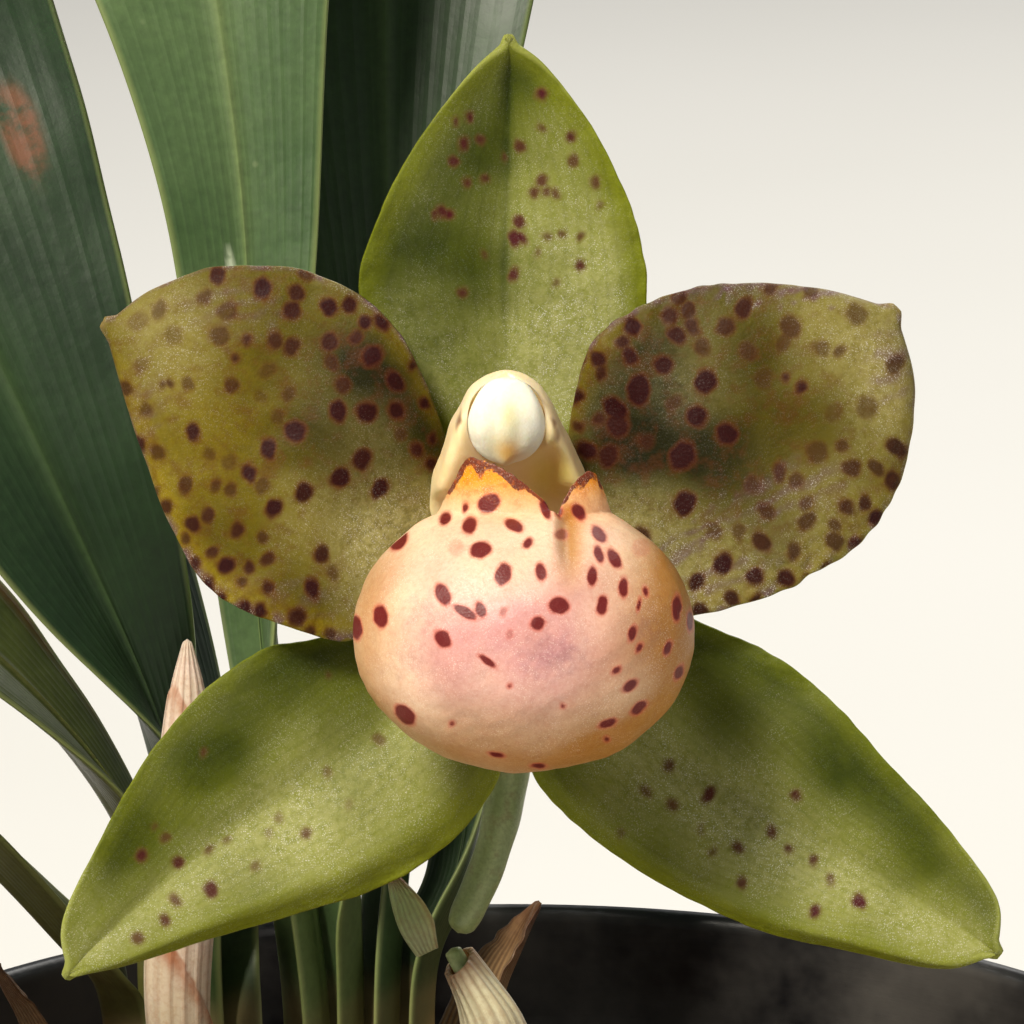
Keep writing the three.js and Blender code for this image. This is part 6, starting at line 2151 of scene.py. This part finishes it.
# Build
def flower() -> None:
    """Builds the three sepals, the two petals, the pouch, the column and the stalk."""
    sepal = TepalFinish("sepal_tissue", (48, 58, 4), (112, 118, 16), (164, 164, 102), (120, 125, 22), (66, 14, 20),
                        (92, 62, 30), (172, 176, 96)).build()
    petal = TepalFinish("petal_tissue", (28, 28, 2), (112, 100, 8), (176, 166, 106), (140, 118, 4), (40, 4, 5),
                        (84, 38, 12), (150, 128, 60), 0.3, 0.4).build()
    tepals = [
        Tepal("dorsal_sepal", Tissue.DORSAL,
              [(-1.4, 1.95), (-4.1, 4.6), (-6.3, 7.7), (-6.9, 10.3), (-6.1, 13.0), (-4.7, 15.9), (-3.15, 18.2),
               (-1.6, 20.0), (-0.2, 21.15)],
              [(1.4, 1.95), (3.9, 4.6), (5.75, 7.7), (6.05, 10.3), (5.55, 13.0), (4.4, 15.9), (3.0, 18.2),
               (1.45, 20.1), (-0.1, 21.15)],
              round_spots(DORSAL_SPOTS, 2, size=0.72), -1.35, 2.7, cup=0.9, keel=0.5, seed=11),
        Tepal("lateral_sepal_left", Tissue.LATERAL,
              [(-1.7, -1.45), (-4.4, -3.6), (-8.2, -5.5), (-11.0, -6.15), (-13.8, -8.0), (-16.4, -11.0),
               (-18.6, -14.9), (-20.2, -18.4), (-19.95, -20.7)],
              [(-0.35, -2.3), (-0.3, -7.0), (-0.45, -11.5), (-2.3, -14.4), (-5.4, -16.6), (-9.3, -17.95),
               (-13.3, -19.1), (-16.9, -20.25), (-19.85, -20.8)],
              round_spots(LEFT_SEPAL_SPOTS, 3, size=0.75), -1.5, 3.2, cup=0.8, keel=0.4, fold=0.72, seed=31),
        Tepal("lateral_sepal_right", Tissue.LATERAL,
              [(0.35, -2.3), (0.35, -7.2), (0.85, -11.6), (3.1, -14.2), (6.7, -16.7), (10.9, -18.7), (15.2, -19.75),
               (19.3, -20.5), (21.65, -19.8)],
              [(1.7, -1.45), (4.8, -3.1), (8.5, -4.95), (11.7, -6.4), (14.5, -8.6), (17.3, -11.7), (19.8, -14.5),
               (21.8, -17.4), (21.75, -19.7)],
              round_spots(RIGHT_SEPAL_SPOTS, 4, size=0.78), -1.5, 3.2, cup=0.8, keel=0.4, fold=-0.82, seed=51),
        Tepal("petal_left", Tissue.PETAL,
              [(-2.2, -0.8), (-4.2, -4.1), (-7.4, -5.8), (-10.6, -4.95), (-13.3, -3.7), (-15.2, -1.0), (-16.5, 2.4),
               (-17.4, 5.2), (-18.2, 8.35)],
              [(-2.0, 1.2), (-2.95, 3.3), (-3.9, 5.9), (-5.3, 8.4), (-7.6, 10.2), (-10.6, 11.05), (-13.6, 10.95),
               (-16.3, 9.9), (-18.1, 8.45)],
              round_spots(LEFT_PETAL_SPOTS, 5, size=0.94), -0.2, 2.4, roll=1.5, violet=LEFT_PETAL_VIOLET, seed=71,
              rows=190, columns=140),
        Tepal("petal_right", Tissue.PETAL,
              [(2.0, 1.2), (2.5, 3.3), (2.9, 5.6), (3.6, 7.6), (5.2, 8.95), (7.9, 10.05), (10.6, 10.3),
               (14.0, 10.0), (17.05, 9.05)],
              [(2.2, -0.8), (4.0, -3.4), (7.0, -4.75), (10.4, -4.1), (13.6, -2.85), (16.2, -0.8), (17.6, 1.9),
               (18.1, 5.6), (17.15, 8.95)],
              round_spots(RIGHT_PETAL_SPOTS, 6, size=0.95), -0.2, 2.4, roll=1.5, crisp=0.007,
              violet=RIGHT_PETAL_VIOLET, seed=91,
              rows=190, columns=140),
    ]
    for tepal in tepals:
        tepal.build(petal if tepal.tissue is Tissue.PETAL else sepal)
    Lip().build()
    Column().build()
    FlowerStalk().build()


def plant() -> None:
    """Builds the eight leaves, the crown and the roots."""
    dark = LeafFinish("leaf_dark", (20, 40, 20), (38, 62, 32), (60, 82, 42)).build()
    pale = LeafFinish("leaf_pale", (58, 84, 46), (86, 110, 66), (116, 134, 80), stain=(176, 186, 160)).build()
    mid = LeafFinish("leaf_middle", (28, 48, 24), (48, 72, 38), (70, 92, 50)).build()
    olive = LeafFinish("leaf_olive", (46, 56, 24), (72, 82, 36), (90, 88, 42)).build()
    leaves = [
        (Leaf("leaf_1", 1, 2, (0.35, -0.85, 0.3), 1.12, 1.0,
              [(-17.3, 11, 87), (-22.5, 11.5, 101), (-30, 16, 116), (-38, 25, 130), (-46, 37, 140)],
              scars=[(0.653, 0.64, 0.026, 0.11)]), dark),
        (Leaf("leaf_2", -1, 1, (0.05, -0.9, 0.3), 1.0, 1.25,
              [(-12.1, 13.9, 93), (-13.2, 17.3, 113), (-15.5, 22, 129), (-18.5, 30, 147), (-22, 41, 162)],
              scars=[(0.47, -0.25, 0.014, 0.08)]), pale),
        (Leaf("leaf_3", -1, 3, (-0.15, -0.9, 0.35), 0.95, 1.2,
              [(-5.2, 18.6, 86), (-5.9, 22.5, 102), (-6.3, 29.5, 118), (-6.2, 39, 134), (-5.8, 52, 149)]), mid),
        (Leaf("leaf_4", 1, 3, (0.3, -0.4, 0.85), 0.82, 1.1,
              [(-19, 9.8, 84), (-26.5, 8, 94), (-37, 6, 101.5), (-49, 3, 105), (-60, 0, 105)], True,
              brown_side=1.0), olive),
        (Leaf("leaf_5", 1, 4, (0.35, 0.1, 0.9), 0.86, 1.1,
              [(-21.6, 6.5, 79), (-28, 0, 88), (-36, -8, 92), (-44, -17, 90), (-51, -26, 83)], True,
              brown_side=1.0), olive),
        (Leaf("leaf_6", -1, 4, (-0.2, -0.25, 0.95), 0.92, 1.2,
              [(-2.2, 16.8, 80), (-1, 22.5, 90.5), (3, 35, 96), (8, 50, 93.5), (12, 63, 84)]), mid),
        (Leaf("leaf_7", 1, 1, (0.45, -0.5, 0.75), 0.9, 1.3,
              [(-15.2, 19.2, 83), (-20.6, 28.4, 94.6), (-31, 39, 103.6), (-42, 51, 108), (-54, 63, 106)]), dark),
        (Leaf("leaf_8", -1, 2, (0, -0.85, 0.45), 0.45, 1.35,
              [(-7.9, 12.8, 82), (-6.3, 13.2, 90), (-4.4, 14.7, 97), (-2.5, 17.8, 103.5), (-1.3, 21.3, 108.5)]),
              pale),
    ]
    for leaf, finish in leaves:
        leaf.build(finish)
    roots = [
        [crown_point(8.5, 3.8, -1.9), (-19.6, 1, 66.2), (-21, -5, 65.6), (-22, -9, 57)],
        [crown_point(-5.5, 3.9, -1.9), (-1.4, 4.6, 66.6), (5, 1.5, 66.4), (10, -1.5, 64), (12, -3, 57)],
        [crown_point(-5, -4.6, -1.9), (-4.6, 21.5, 66.2), (0.5, 25.3, 65), (3, 27, 57)],
        [crown_point(5, -3.9, -1.9), (-20, 19, 66), (-22.6, 20.4, 64.4), (-23.6, 20.6, 57)],
    ]
    Crown(roots=roots).build()


def main() -> None:
    """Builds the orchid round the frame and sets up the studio."""
    logging.basicConfig(level=logging.INFO, format="%(name)s: %(message)s")
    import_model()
    Studio().build()
    flower()
    plant()
    Pot().build()
    BarkMix().build()
    bpy.context.view_layer.update()


if __name__ == "__main__":
    main()
